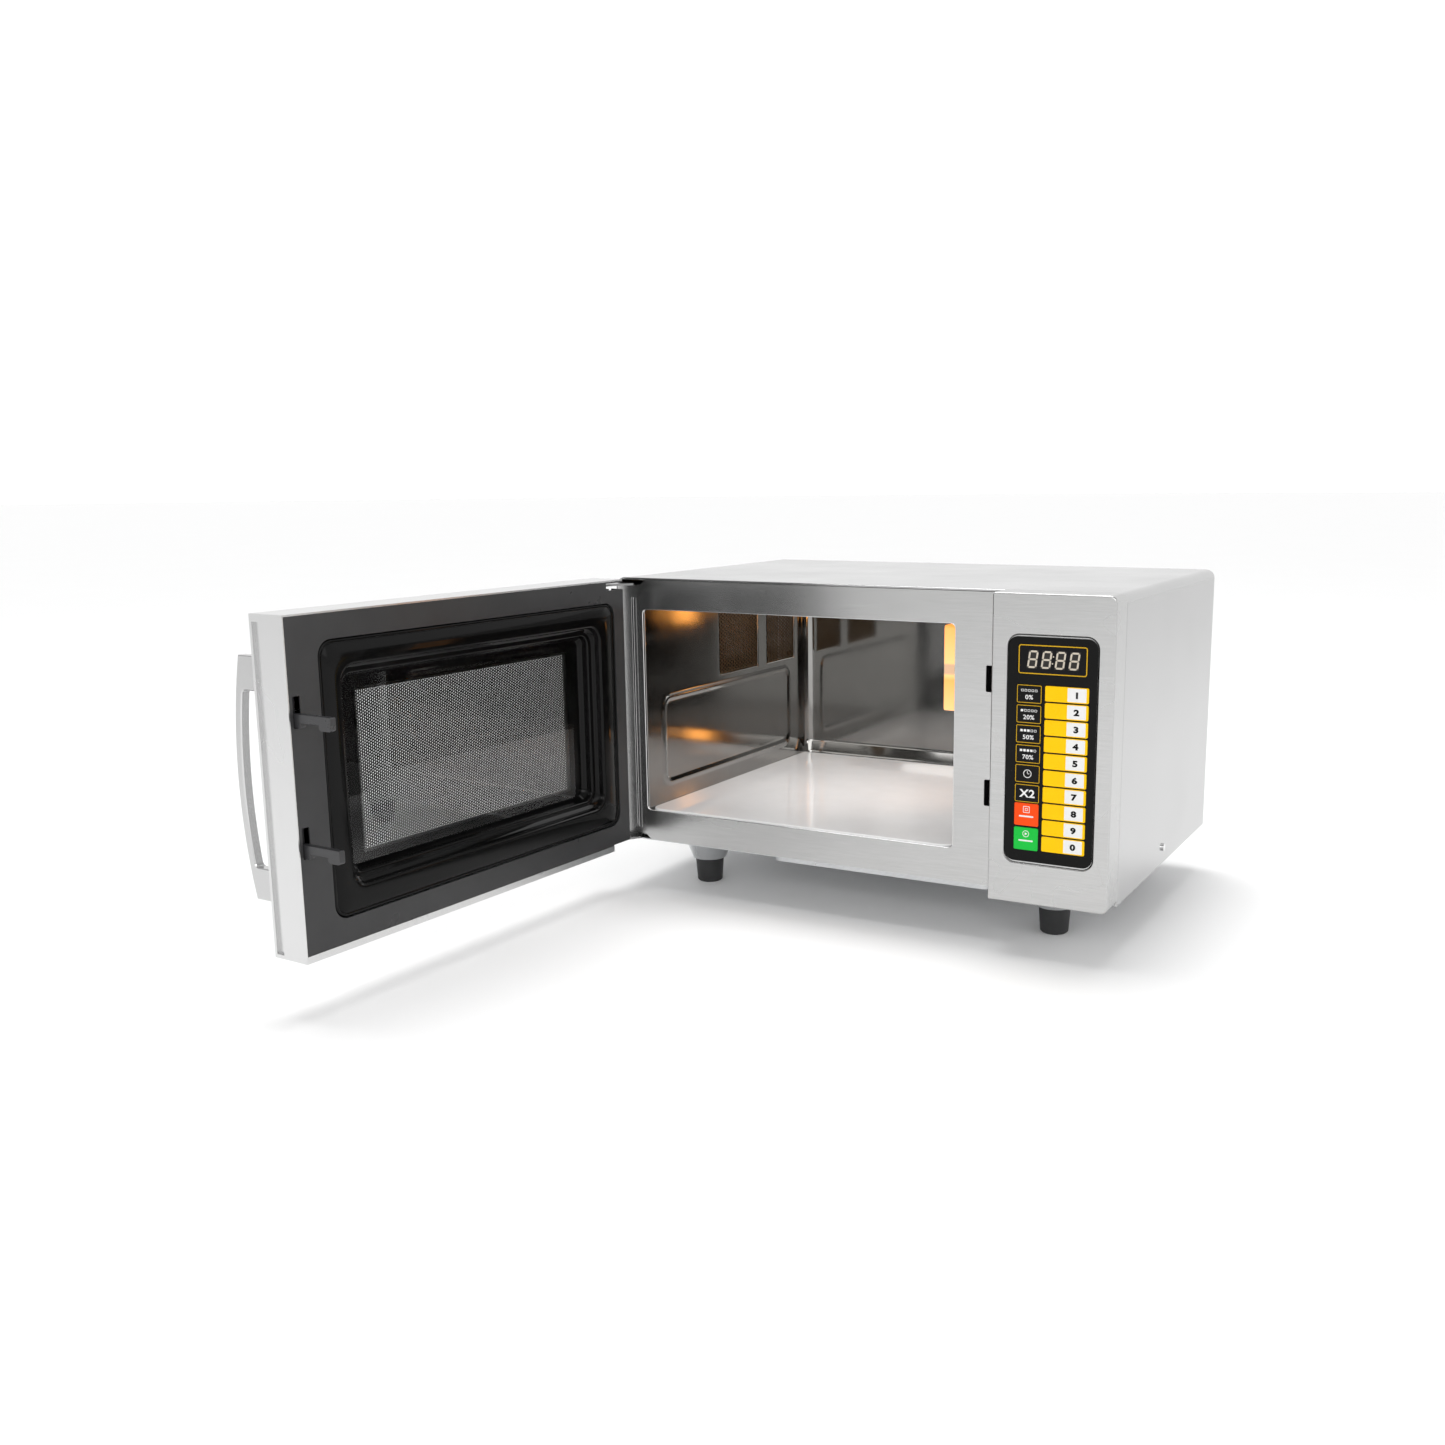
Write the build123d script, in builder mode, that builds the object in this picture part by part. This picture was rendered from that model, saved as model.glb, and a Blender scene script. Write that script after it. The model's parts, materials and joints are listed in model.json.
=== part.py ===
"""Counter-top microwave oven with a side-hinged door, a flat ceramic floor and a touch keypad.

Millimetres. X runs to the right, Y to the back and Z up. The origin lies on the table top, midway
between the four feet. The door is drawn open, at `door_angle`, as a turned copy of its shut place.
"""
from build123d import *
from math import cos, radians, sin
import os

os.makedirs("parts", exist_ok=True)

# ---- Cabinet
half_width = 255.5
front_y = -165.0  # face of the front frame
rear_y = 162.0
cover_bottom, cover_top = 47.5, 314.0
cover_radius = 9.0
sheet = 1.0

# ---- Front frame and cavity
frame_bottom, frame_top = 50.5, 312.0
opening_left, opening_right = -225.7, 105.5
opening_bottom, opening_top = 80.2, 284.0
cavity_left, cavity_right = -224.5, 105.5
cavity_floor, cavity_ceiling = 76.5, 284.0
cavity_rear = 173.0
cavity_sheet = 0.8
cavity_corner = 13.0

# ---- Ceramic shelf and the stirrer under it
shelf_bottom, shelf_top = 77.5, 82.5
stirrer_x, stirrer_y = -59.5, 5.0
well_radius, well_floor = 95.0, 62.5

# ---- Control fascia and its keypad
fascia_left, fascia_right = 150.3, 256.1
fascia_front = front_y - 30.0
fascia_bottom, fascia_top = 48.3, 314.5
pocket_left, pocket_right, pocket_bottom, pocket_top = 163.2, 243.2, 83.2, 281.0
pocket_depth = 1.5
overlay_left, overlay_right, overlay_bottom, overlay_top = 164.8, 241.6, 86.0, 278.6
overlay_thickness = 1.0
display_left, display_right, display_bottom, display_top = 173.4, 233.4, 247.0, 272.6
key_gap = 0.25
key_thickness, key_proud = 1.3, 0.4
function_key_left, function_key_right = 173.3, 195.0
function_key_top, function_key_pitch, function_key_height = 238.4, 17.0, 15.6
action_key_left, action_key_right = 173.3, 194.6
action_key_height, stop_key_top, start_key_top = 19.6, 137.0, 115.8
number_key_left, number_key_right = 197.8, 235.0
number_key_top, number_key_pitch, number_key_height = 238.4, 14.3, 13.0

# ---- Door, in its own frame: along the width from the hinge, through the thickness, and up
hinge_x, hinge_y = -253.0, front_y - 27.0
door_angle = -92.3
door_left, door_right = -3.5, 398.6
door_bottom, door_top = 48.4, 314.6
door_outside, door_inside = -15.3, 22.4
window_left, window_right, window_bottom, window_top = 48.0, 332.0, 98.0, 266.0
choke_left, choke_right, choke_bottom, choke_top, choke_radius = 11.0, 368.4, 73.9, 293.2, 13.0
step_left, step_right, step_bottom, step_top, step_radius = 33.0, 347.2, 90.0, 275.4, 15.0
step_width = 8.0
middle_level, screen_level = 12.5, 1.9
screen_left, screen_right, screen_bottom, screen_top = 61.5, 318.3, 115.8, 248.3
pin_radius, pin_clearance = 2.0, 0.05
hinge_slot_bottom, hinge_slot_top, hinge_slot_right = 305.0, 311.7, 22.0
skin_fold = -9.0  # how far round the hinge edge the outer skin reaches
channel_low, channel_high, channel_depth = -11.4, -3.4, 2.6  # groove along the free edge
bush_spans = ((295.0, 304.6), (55.4, 66.0))

# ---- Latch
hook_middle, hook_thickness = 391.0, 5.2
upper_hook_top, lower_hook_top = 241.2, 141.2
hook_arm_height, hook_height, hook_tip = 6.2, 10.6, 60.4
latch_travel = 5.0

# ---- Handle
handle_left, handle_right = 380.6, 388.6
handle_bottom, handle_top = 88.0, 281.0
handle_end_depth, handle_bow = 28.0, 11.3
grip_bottom, grip_top, grip_thickness = 114.0, 254.0, 7.0

# ---- Feet
foot_x, foot_y = 185.0, 113.0
foot_height, foot_bottom_radius, foot_top_radius = 25.0, 12.8, 14.6
foot_recess_radius, foot_recess_depth = 4.5, 11.5
foot_hole_radius = 2.1
foot_head_radius, foot_head_thickness = 4.0, 2.2
foot_seat_radius, foot_seat_top = 4.25, 14.0  # narrower seat above the recess, which holds the screw head
foot_places = [(x, y) for x in (-foot_x, foot_x) for y in (-foot_y, foot_y)]
base_top = 50.3


def face(y):
    """Upright plane that faces the front, at depth y: across, then up."""
    return Plane(origin=(0, y, 0), x_dir=(1, 0, 0), z_dir=(0, -1, 0))


def side(x):
    """Upright plane that faces right, at x: towards the back, then up."""
    return Plane(origin=(x, 0, 0), x_dir=(0, 1, 0), z_dir=(1, 0, 0))


door_along = Vector(cos(radians(door_angle)), sin(radians(door_angle)), 0)
door_through = Vector(-sin(radians(door_angle)), cos(radians(door_angle)), 0)
hinge = Vector(hinge_x, hinge_y, 0)


def door_face(depth):
    """Upright plane in the door, `depth` behind the hinge axis: along the width, then up."""
    return Plane(origin=hinge + door_through * depth, x_dir=door_along, z_dir=-door_through)


def door_level(z):
    """Level plane at height z with the door's own axes: along the width, then through it."""
    return Plane(origin=hinge + Vector(0, 0, z), x_dir=door_along, z_dir=(0, 0, 1))


def door_end(along):
    """Upright plane across the door at `along`: through the thickness, then up."""
    return Plane(origin=hinge + door_along * along, x_dir=door_through, z_dir=door_along)


def area(left, right, bottom, top, radius=0.0, mode=Mode.ADD):
    """Rectangle between four edges in the sketch that is open."""
    with Locations(((left + right) / 2, (bottom + top) / 2)):
        if radius:
            RectangleRounded(right - left, top - bottom, radius, mode=mode)
        else:
            Rectangle(right - left, top - bottom, mode=mode)


def slab(plane, left, right, bottom, top, amount, radius=0.0, mode=Mode.ADD):
    """Rectangle drawn on a plane and extruded into the part that is open."""
    with BuildSketch(plane) as outline:
        area(left, right, bottom, top, radius)
    extrude(outline.sketch, amount=amount, mode=mode)


def disc(plane, x, y, radius, amount, mode=Mode.ADD):
    """Circle drawn on a plane and extruded into the part that is open."""
    with BuildSketch(plane) as outline:
        with Locations((x, y)):
            Circle(radius)
    extrude(outline.sketch, amount=amount, mode=mode)


def finish(builder, name):
    """Label a finished piece and write it under its own name."""
    builder.part.label = name
    export_step(builder.part, f"parts/{name}.step")


# =============================================================== cabinet

cover_screw_places = [(front_y + 154.8, 63.3)]
screw_radius, screw_head_radius, screw_head = 1.9, 3.6, 1.8

with BuildPart() as outer_cover:
    with BuildSketch(face(front_y)):
        area(-half_width, half_width, cover_bottom, cover_top, cover_radius)
        area(-half_width, half_width, cover_bottom, cover_bottom + 2 * cover_radius)
        area(-half_width + sheet, half_width - sheet, cover_bottom + cover_radius, cover_top - sheet,
             cover_radius - sheet, Mode.SUBTRACT)
        area(-half_width + sheet, half_width - sheet, cover_bottom, cover_bottom + 3 * cover_radius,
             mode=Mode.SUBTRACT)
    extrude(amount=front_y - rear_y)
    for y, z in cover_screw_places:
        disc(side(-half_width - 1), y, z, screw_radius, 2 * half_width + 2, Mode.SUBTRACT)
    # intake louvres low on the left wall, near the front
    for row in range(6):
        slab(side(-half_width - 1), front_y + 45, front_y + 120, 90 + 9 * row, 93 + 9 * row, sheet + 2,
             1.4, Mode.SUBTRACT)
finish(outer_cover, "outer_cover")

with BuildPart() as cabinet_screws:
    for end in (-1, 1):
        for y, z in cover_screw_places:
            plane = Plane(origin=(end * (half_width - 6), y, z), z_dir=(end, 0, 0))
            disc(plane, 0, 0, screw_radius - 0.05, 6.0)
            disc(plane.offset(6.0), 0, 0, screw_head_radius, screw_head)
    for x, y in foot_places:
        disc(Plane.XY.offset(foot_seat_top - foot_head_thickness), x, y, foot_head_radius,
             foot_head_thickness)
        disc(Plane.XY.offset(foot_seat_top), x, y, foot_hole_radius - 0.1, 20.0)
finish(cabinet_screws, "cabinet_screws")

panel_left, panel_right = 160.0, 244.0
panel_bottom, panel_top = 80.0, 285.0
notch_width, notch_slope = 28.0, 7.0
slot_left, slot_right = 134.3, 146.0
upper_slot, lower_slot = (225.0, 248.3), (123.4, 147.1)

with BuildPart() as front_frame:
    slab(face(front_y), -half_width + 1.5, half_width - 1.5, frame_bottom, frame_top, -sheet,
         7.5)
    with BuildSketch(face(front_y)):
        area(opening_left, opening_right, opening_bottom, opening_top, 5.0)
        area(panel_left, panel_right, panel_bottom, panel_top, 4.0)
        for bottom, top in (upper_slot, lower_slot):
            area(slot_left, slot_right, bottom, top, 1.5)
    extrude(amount=-sheet, mode=Mode.SUBTRACT)
    # the two left corners are cut off for the hinge arms
    with BuildSketch(face(front_y)):
        for z, way in ((frame_top, 1), (frame_bottom, -1)):
            left = -half_width
            Polygon((left, z + way), (left + notch_width + notch_slope, z + way),
                    (left + notch_width, z - 5 * way), (left, z - 5 * way), align=None)
    extrude(amount=-sheet, mode=Mode.SUBTRACT)
    # folded edges, top and bottom
    for bottom in (frame_top - sheet, frame_bottom):
        slab(face(front_y + sheet), -half_width + 40, half_width - 12, bottom, bottom + sheet, -12.0)
finish(front_frame, "front_frame")

lamp_window = (front_y + 12, front_y + 42, 213.0, 273.0)

with BuildPart() as cavity_shell:
    shell_front, shell_depth = front_y + sheet, cavity_rear - front_y - sheet
    wall = cavity_sheet
    slab(face(shell_front), cavity_left - wall, cavity_right + wall, cavity_floor - wall,
         cavity_ceiling + wall, -(shell_depth + wall))
    upright = cavity_shell.edges().filter_by(Axis.Z).group_by(Axis.Y)[-1]
    fillet(upright, cavity_corner + wall)
    with BuildPart(mode=Mode.PRIVATE) as room:
        slab(face(shell_front - 1), cavity_left, cavity_right, cavity_floor, cavity_ceiling,
             -(shell_depth + 1))
        fillet(room.edges().filter_by(Axis.Z).group_by(Axis.Y)[-1], cavity_corner)
    add(room.part, mode=Mode.SUBTRACT)
    # round well for the stirrer, pressed down from the floor
    disc(Plane.XY.offset(well_floor - wall), stirrer_x, stirrer_y, well_radius + wall,
         cavity_floor - well_floor)
    disc(Plane.XY.offset(well_floor), stirrer_x, stirrer_y, well_radius, cavity_floor - well_floor + 1,
         Mode.SUBTRACT)
    disc(Plane.XY.offset(well_floor - 2), stirrer_x, stirrer_y, 4.0, 4.0, Mode.SUBTRACT)
    # lamp window in the right wall
    slab(side(cavity_right - 1), *lamp_window, 3.0, 3.0, Mode.SUBTRACT)
finish(cavity_shell, "cavity_shell")

with BuildPart() as shelf_seal:
    with BuildSketch(Plane.XY.offset(cavity_floor)):
        area(cavity_left + 1, cavity_right - 1, front_y + 4, cavity_rear - 1, cavity_corner - 1)
        area(cavity_left + 9, cavity_right - 9, front_y + 12, cavity_rear - 9, 8.0, Mode.SUBTRACT)
    extrude(amount=shelf_bottom - cavity_floor)
finish(shelf_seal, "shelf_seal")

with BuildPart() as ceramic_shelf:
    with BuildSketch(Plane.XY.offset(shelf_bottom)):
        area(cavity_left + 0.5, cavity_right - 0.5, front_y + 2, cavity_rear - 0.5, cavity_corner - 0.5)
    extrude(amount=shelf_top - shelf_bottom)
    fillet(ceramic_shelf.faces().sort_by(Axis.Z)[-1].edges(), 1.5)
finish(ceramic_shelf, "ceramic_shelf")

antenna_radius, antenna_z = 78.0, 67.0
shaft_radius, shaft_clearance = 2.5, 0.05

with BuildPart() as stirrer_antenna:
    disc(Plane.XY.offset(antenna_z), stirrer_x, stirrer_y, antenna_radius, 1.2)
    with BuildSketch(Plane.XY.offset(antenna_z)):
        with Locations((stirrer_x, stirrer_y)):
            with PolarLocations(48, 5, 20):
                SlotOverall(44, 11)
    extrude(amount=1.2, mode=Mode.SUBTRACT)
    disc(Plane.XY.offset(antenna_z - 2.5), stirrer_x, stirrer_y, 9.0, 6.5)
    disc(Plane.XY.offset(52.0), stirrer_x, stirrer_y, shaft_radius, antenna_z - 52.0)
finish(stirrer_antenna, "stirrer_antenna")

motor_half, motor_bottom, motor_top = 24.0, 44.5, 60.8

with BuildPart() as stirrer_motor:
    disc(Plane.XY.offset(motor_bottom), stirrer_x, stirrer_y, motor_half, motor_top - motor_bottom)
    slab(Plane.XY.offset(motor_top - 1.2), stirrer_x - 34, stirrer_x + 34, stirrer_y - 7, stirrer_y + 7,
         1.2, 6.0)
    disc(Plane.XY.offset(motor_bottom + 6), stirrer_x, stirrer_y, shaft_radius + shaft_clearance,
         motor_top - motor_bottom, Mode.SUBTRACT)
finish(stirrer_motor, "stirrer_motor")

tray_left, tray_right = -92.0, 140.0
tray_front, tray_rear = front_y + 14, stirrer_y + 60
tray_floor = 42.0
boss_top_radius, boss_bottom_radius = 27.0, 17.0
air_slots = [(-205 + 12 * i, -50) for i in range(8)]

with BuildPart() as base_plate:
    slab(Plane.XY.offset(base_top - sheet), -half_width + 1.2, half_width - 1.2, front_y + 2,
         rear_y - 2, sheet)
    # sunken tray that makes room for the stirrer's motor
    slab(Plane.XY.offset(tray_floor), tray_left, tray_right, tray_front, tray_rear,
         base_top - tray_floor, 14.0)
    slab(Plane.XY.offset(tray_floor + sheet), tray_left + sheet, tray_right - sheet,
         tray_front + sheet, tray_rear - sheet, base_top - tray_floor, 13.0, Mode.SUBTRACT)
    # hollow cones pressed down to carry the feet
    for x, y in foot_places:
        with BuildSketch(Plane(origin=(x, y, 0), x_dir=(1, 0, 0), z_dir=(0, -1, 0))):
            Polygon((0, foot_height), (boss_bottom_radius, foot_height), (boss_top_radius, base_top),
                    (0, base_top), align=None)
        revolve(axis=Axis((x, y, 0), (0, 0, 1)))
        with BuildSketch(Plane(origin=(x, y, 0), x_dir=(1, 0, 0), z_dir=(0, -1, 0))):
            Polygon((0, foot_height + sheet), (boss_bottom_radius - sheet, foot_height + sheet),
                    (boss_top_radius - sheet, base_top + 1), (0, base_top + 1), align=None)
        revolve(axis=Axis((x, y, 0), (0, 0, 1)), mode=Mode.SUBTRACT)
        disc(Plane.XY.offset(foot_height - 1), x, y, foot_hole_radius, 4.0, Mode.SUBTRACT)
    for x, y in air_slots:
        slab(Plane.XY.offset(base_top - 3), x, x + 4, y, y + 40, 5.0, 1.9, Mode.SUBTRACT)
finish(base_plate, "base_plate")

with BuildPart() as feet:
    for x, y in foot_places:
        with BuildSketch(Plane(origin=(x, y, 0), x_dir=(1, 0, 0), z_dir=(0, -1, 0))):
            with BuildLine():
                Polyline((foot_recess_radius, 0), (foot_bottom_radius - 1.5, 0),
                         (foot_bottom_radius, 1.5), (foot_top_radius, foot_height),
                         (foot_hole_radius, foot_height), (foot_hole_radius, foot_seat_top),
                         (foot_seat_radius, foot_seat_top), (foot_seat_radius, foot_recess_depth),
                         (foot_recess_radius, foot_recess_depth), (foot_recess_radius, 0))
            make_face()
        revolve(axis=Axis((x, y, 0), (0, 0, 1)))
finish(feet, "feet")

bump_left, bump_right, bump_bottom, bump_top, bump_depth = -232.0, 114.0, 62.0, 296.0, 25.0
gland_x, gland_z, gland_radius = 222.0, 78.0, 8.0
vent_rows, vent_columns = 11, 4

with BuildPart() as rear_panel:
    panel_y = rear_y - 1.0
    slab(face(panel_y), -half_width + 1.4, half_width - 1.4, frame_bottom, frame_top + 0.6, -sheet, 7.0)
    # box-shaped bump that clears the back of the cavity
    with BuildPart(mode=Mode.PRIVATE) as bump:
        slab(face(panel_y), bump_left, bump_right, bump_bottom, bump_top, -bump_depth, 12.0)
        fillet(bump.faces().sort_by(Axis.Y)[-1].edges(), 6.0)
    with BuildPart(mode=Mode.PRIVATE) as hollow:
        slab(face(panel_y - 1), bump_left + sheet, bump_right - sheet, bump_bottom + sheet,
             bump_top - sheet, -(bump_depth + 1 - sheet), 11.0)
        fillet(hollow.faces().sort_by(Axis.Y)[-1].edges(), 5.0)
    add(bump.part)
    add(hollow.part, mode=Mode.SUBTRACT)
    for row in range(vent_rows):
        for column in range(vent_columns):
            x, z = 126 + 29 * column, 172 + 11 * row
            slab(face(panel_y - 1), x, x + 24, z, z + 4, -4.0, 1.9, Mode.SUBTRACT)
    disc(face(panel_y - 1), gland_x, gland_z, gland_radius, -4.0, Mode.SUBTRACT)
finish(rear_panel, "rear_panel")

with BuildPart() as cord_gland:
    disc(face(rear_y - 6), gland_x, gland_z, gland_radius - 0.1, -14.0)
    disc(face(rear_y), gland_x, gland_z, gland_radius + 4.0, -3.0)
    disc(face(rear_y - 8), gland_x, gland_z, 4.0, -20.0, Mode.SUBTRACT)
finish(cord_gland, "cord_gland")

# =============================================================== control side

with BuildPart() as control_fascia:
    depth = front_y - 0.9 - fascia_front
    slab(face(fascia_front), fascia_left, fascia_right, fascia_bottom, fascia_top, -depth)
    fillet(control_fascia.edges().filter_by(Axis.Y).sort_by(Axis.X)[-2:], 6.0)
    fillet(control_fascia.edges().filter_by(Axis.Y).sort_by(Axis.X)[:2], 1.5)
    fillet(control_fascia.faces().sort_by(Axis.Y)[0].edges(), 1.4)
    slab(face(fascia_front + sheet), fascia_left + sheet, fascia_right - sheet, fascia_bottom + sheet,
         fascia_top - sheet, -depth, 4.5, Mode.SUBTRACT)
    slab(face(fascia_front + sheet), pocket_left - 3, pocket_right + 3, pocket_bottom - 3, pocket_top + 3,
         -(pocket_depth), 12.0)
    with BuildSketch(face(fascia_front)):
        area(pocket_left, pocket_right, pocket_bottom, pocket_top, 11.0)
    extrude(amount=-pocket_depth, taper=45, mode=Mode.SUBTRACT)
    slab(face(fascia_front), overlay_left + 3, overlay_right - 3, overlay_bottom + 3, overlay_top - 3,
         -6.0, 6.0, Mode.SUBTRACT)
finish(control_fascia, "control_fascia")

overlay_front = fascia_front + pocket_depth - overlay_thickness
key_front = overlay_front - key_proud

function_key_names = ["key_power_0", "key_power_20", "key_power_50", "key_power_70", "key_time",
                      "key_double"]
keys = {}
for i, name in enumerate(function_key_names):
    top = function_key_top - i * function_key_pitch
    keys[name] = (function_key_left, function_key_right, top - function_key_height, top)
keys["key_stop"] = (action_key_left, action_key_right, stop_key_top - action_key_height, stop_key_top)
keys["key_start"] = (action_key_left, action_key_right, start_key_top - action_key_height,
                     start_key_top)
for i, digit in enumerate("1234567890"):
    top = number_key_top - i * number_key_pitch
    keys[f"key_{digit}"] = (number_key_left, number_key_right, top - number_key_height, top)

with BuildPart() as keypad_overlay:
    slab(face(overlay_front), overlay_left, overlay_right, overlay_bottom, overlay_top,
         -overlay_thickness + 0.02, 8.5)
    with BuildSketch(face(overlay_front)):
        area(display_left, display_right, display_bottom, display_top, 2.5)
        for left, right, bottom, top in keys.values():
            area(left - key_gap, right + key_gap, bottom - key_gap, top + key_gap, 1.5)
    extrude(amount=-overlay_thickness, mode=Mode.SUBTRACT)
finish(keypad_overlay, "keypad_overlay")

for name, (left, right, bottom, top) in keys.items():
    with BuildPart() as key:
        slab(face(key_front), left, right, bottom, top, -key_thickness, 1.3)
        fillet(key.faces().sort_by(Axis.Y)[0].edges(), 0.25)
    finish(key, name)

with BuildPart() as display_module:
    slab(face(overlay_front + 0.1), display_left + 0.2, display_right - 0.2, display_bottom + 0.2,
         display_top - 0.2, -2.0, 2.3)
    slab(face(overlay_front + 2.1), display_left + 3, display_right - 3, display_bottom + 2,
         display_top - 2, -3.6)
finish(display_module, "display_module")

board_front = fascia_front + 6.4

with BuildPart() as control_board:
    slab(face(board_front), 168.0, 238.0, 88.0, 277.0, -1.6)
    for x, z, across, up, deep in ((178, 235, 24, 28, 14), (212, 240, 18, 22, 13), (180, 190, 16, 20, 12),
                                   (206, 190, 16, 20, 12), (190, 130, 30, 34, 6), (222, 120, 14, 18, 10)):
        slab(face(board_front + 1.6), x, x + across, z - up / 2, z + up / 2, -deep)
finish(control_board, "control_board")

with BuildPart() as board_carrier:
    with BuildSketch(face(board_front - 1.2)):
        area(153.5, 250.0, 76.0, 288.0, 4.0)
        area(169.5, 236.5, 89.5, 275.5, 2.0, Mode.SUBTRACT)
    extrude(amount=-1.2)
    for x in (158, 246):
        for z in (90, 180, 275):
            disc(face(board_front), x, z, 4.0, -(front_y - 0.5 - board_front))
finish(board_carrier, "board_carrier")

# ---- latch board behind the frame, with its switches and lever
latch_left, latch_right = 126.0, 158.0

with BuildPart() as latch_board:
    slab(face(front_y + sheet), latch_left, latch_right, 112.0, 262.0, -44.0, 2.0)
    for bottom, top in (upper_slot, lower_slot):
        slab(face(front_y), slot_left - 0.5, slot_right + 2.5, bottom - 1, top + 1, -40.0,
             mode=Mode.SUBTRACT)
    slab(face(front_y + sheet), latch_left + 4, latch_right - 4, 158.0, 216.0, -60.0, 2.0,
         Mode.SUBTRACT)
finish(latch_board, "latch_board")

with BuildPart() as microswitches:
    for z in (130.0, 180.0, 236.0):
        slab(side(latch_right + 0.1), front_y + 14, front_y + 34, z - 5, z + 5, 10.0)
        slab(side(latch_right + 2.1), front_y + 17, front_y + 20, z + 5, z + 11, 6.0)
finish(microswitches, "microswitches")

# =============================================================== power side

with BuildPart() as waveguide:
    slab(Plane.XY.offset(52.0), 37.0, 150.0, -20.0, 60.0, 22.0)
    slab(Plane.XY.offset(52.0), 110.0, 150.0, -20.0, 60.0, 190.0)
    slab(Plane.XY.offset(53.0), 38.0, 149.0, -19.0, 59.0, 20.0, mode=Mode.SUBTRACT)
    slab(Plane.XY.offset(53.0), 111.0, 149.0, -19.0, 59.0, 188.0, mode=Mode.SUBTRACT)
    disc(side(145.0), 20.0, 205.0, 14.0, 10.0, Mode.SUBTRACT)
finish(waveguide, "waveguide")

with BuildPart() as magnetron:
    slab(side(150.2), -22.0, 62.0, 168.0, 242.0, 1.6)
    slab(side(172.0), -18.0, 58.0, 170.0, 240.0, 56.0, 3.0)
    for i in range(7):
        slab(side(152.4 + 2.9 * i), -16.0, 56.0, 172.0, 238.0, 1.0)
    disc(side(146.0), 20.0, 205.0, 9.0, 27.0)
finish(magnetron, "magnetron")

with BuildPart() as transformer_core:
    slab(face(20.0), 158.0, 238.0, base_top, base_top + 78.0, -72.0)
    for x in (172.0, 208.0):
        slab(face(19.0), x, x + 16, base_top + 14, base_top + 64, -76.0, mode=Mode.SUBTRACT)
finish(transformer_core, "transformer_core")

with BuildPart() as transformer_windings:
    for z0, z1 in ((16.0, 36.0), (40.0, 62.0)):
        with BuildSketch(Plane.XY.offset(base_top + z0)):
            area(173.0, 223.0, 5.0, 107.0, 12.0)
            area(187.8, 208.2, 19.8, 92.2, 0.0, Mode.SUBTRACT)
        extrude(amount=z1 - z0)
finish(transformer_windings, "transformer_windings")

with BuildPart() as capacitor:
    slab(Plane.XY.offset(base_top), 186.0, 236.0, -105.0, -73.0, 90.0, 15.0)
    for x in (199.0, 223.0):
        slab(Plane.XY.offset(base_top + 90.0), x - 3, x + 3, -90.0, -88.8, 9.0)
finish(capacitor, "capacitor")

fan_x, fan_z, fan_radius = 184.0, 226.0, 52.0

with BuildPart() as fan_shroud:
    with BuildSketch(face(rear_y - 36)):
        area(fan_x - 62, fan_x + 62, fan_z - 60, fan_z + 62, 6.0)
        with Locations((fan_x, fan_z)):
            Circle(fan_radius + 3, mode=Mode.SUBTRACT)
    extrude(amount=-4.0)
    with BuildSketch(face(rear_y - 52)):
        with Locations((fan_x, fan_z)):
            Circle(fan_radius + 5)
            Circle(fan_radius + 3, mode=Mode.SUBTRACT)
    extrude(amount=-17.0)
    for end in (-1, 1):
        slab(face(rear_y - 32), fan_x + end * 58 - 4, fan_x + end * 58 + 4, fan_z - 20, fan_z + 20, -30.0)
        slab(face(rear_y - 10), fan_x + min(0, end * 54), fan_x + max(0, end * 54), fan_z - 7, fan_z + 7,
             -3.0)
finish(fan_shroud, "fan_shroud")

with BuildPart() as fan_motor:
    slab(face(rear_y - 28), fan_x - 24, fan_x + 24, fan_z - 22, fan_z + 22, -17.8, 3.0)
    disc(face(rear_y - 29), fan_x, fan_z, shaft_radius + shaft_clearance, -14.0, Mode.SUBTRACT)
finish(fan_motor, "fan_motor")

with BuildPart() as fan_blade:
    disc(face(rear_y - 52), fan_x, fan_z, 14.0, -16.0)
    disc(face(rear_y - 36), fan_x, fan_z, shaft_radius, -18.0)
    for i in range(6):
        turned = Plane(origin=(fan_x, rear_y - 44, fan_z), z_dir=(cos(radians(60 * i)), 0,
                                                                   sin(radians(60 * i))))
        with BuildSketch(turned.offset(12)):
            Rectangle(30, 1.6, rotation=28)
        extrude(amount=fan_radius - 12)
    with BuildSketch(face(rear_y - 54)):
        with Locations((fan_x, fan_z)):
            Circle(fan_radius)
    extrude(amount=-20, mode=Mode.INTERSECT)
    disc(face(rear_y - 36), fan_x, fan_z, shaft_radius, -18.0)
finish(fan_blade, "fan_blade")

# ---- oven lamp: a clear cover in the cavity and the bulb in its holder outside
lamp_cover_left = cavity_right - 12.0

with BuildPart() as lamp_cover:
    slab(side(lamp_cover_left), front_y + 4, front_y + 50, 205.0, 281.0, 12.0, 3.0)
    slab(side(lamp_cover_left + 1.6), front_y + 6, front_y + 48, 207.0, 279.0, 12.0, 2.0, Mode.SUBTRACT)
finish(lamp_cover, "lamp_cover")

lamp_y, lamp_z = front_y + 27.0, 243.0

with BuildPart() as lamp_bulb:
    with BuildSketch(Plane(origin=(0, lamp_y, lamp_z), x_dir=(1, 0, 0), z_dir=(0, -1, 0))):
        with BuildLine():
            Polyline((cavity_right - 8, 0), (cavity_right - 6, 4), (cavity_right - 1, 8),
                     (cavity_right + 5, 9), (cavity_right + 12, 7), (cavity_right + 20, 6),
                     (cavity_right + 20, 0), (cavity_right - 8, 0))
        make_face()
    revolve(axis=Axis((0, lamp_y, lamp_z), (1, 0, 0)))
finish(lamp_bulb, "lamp_bulb")

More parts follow.
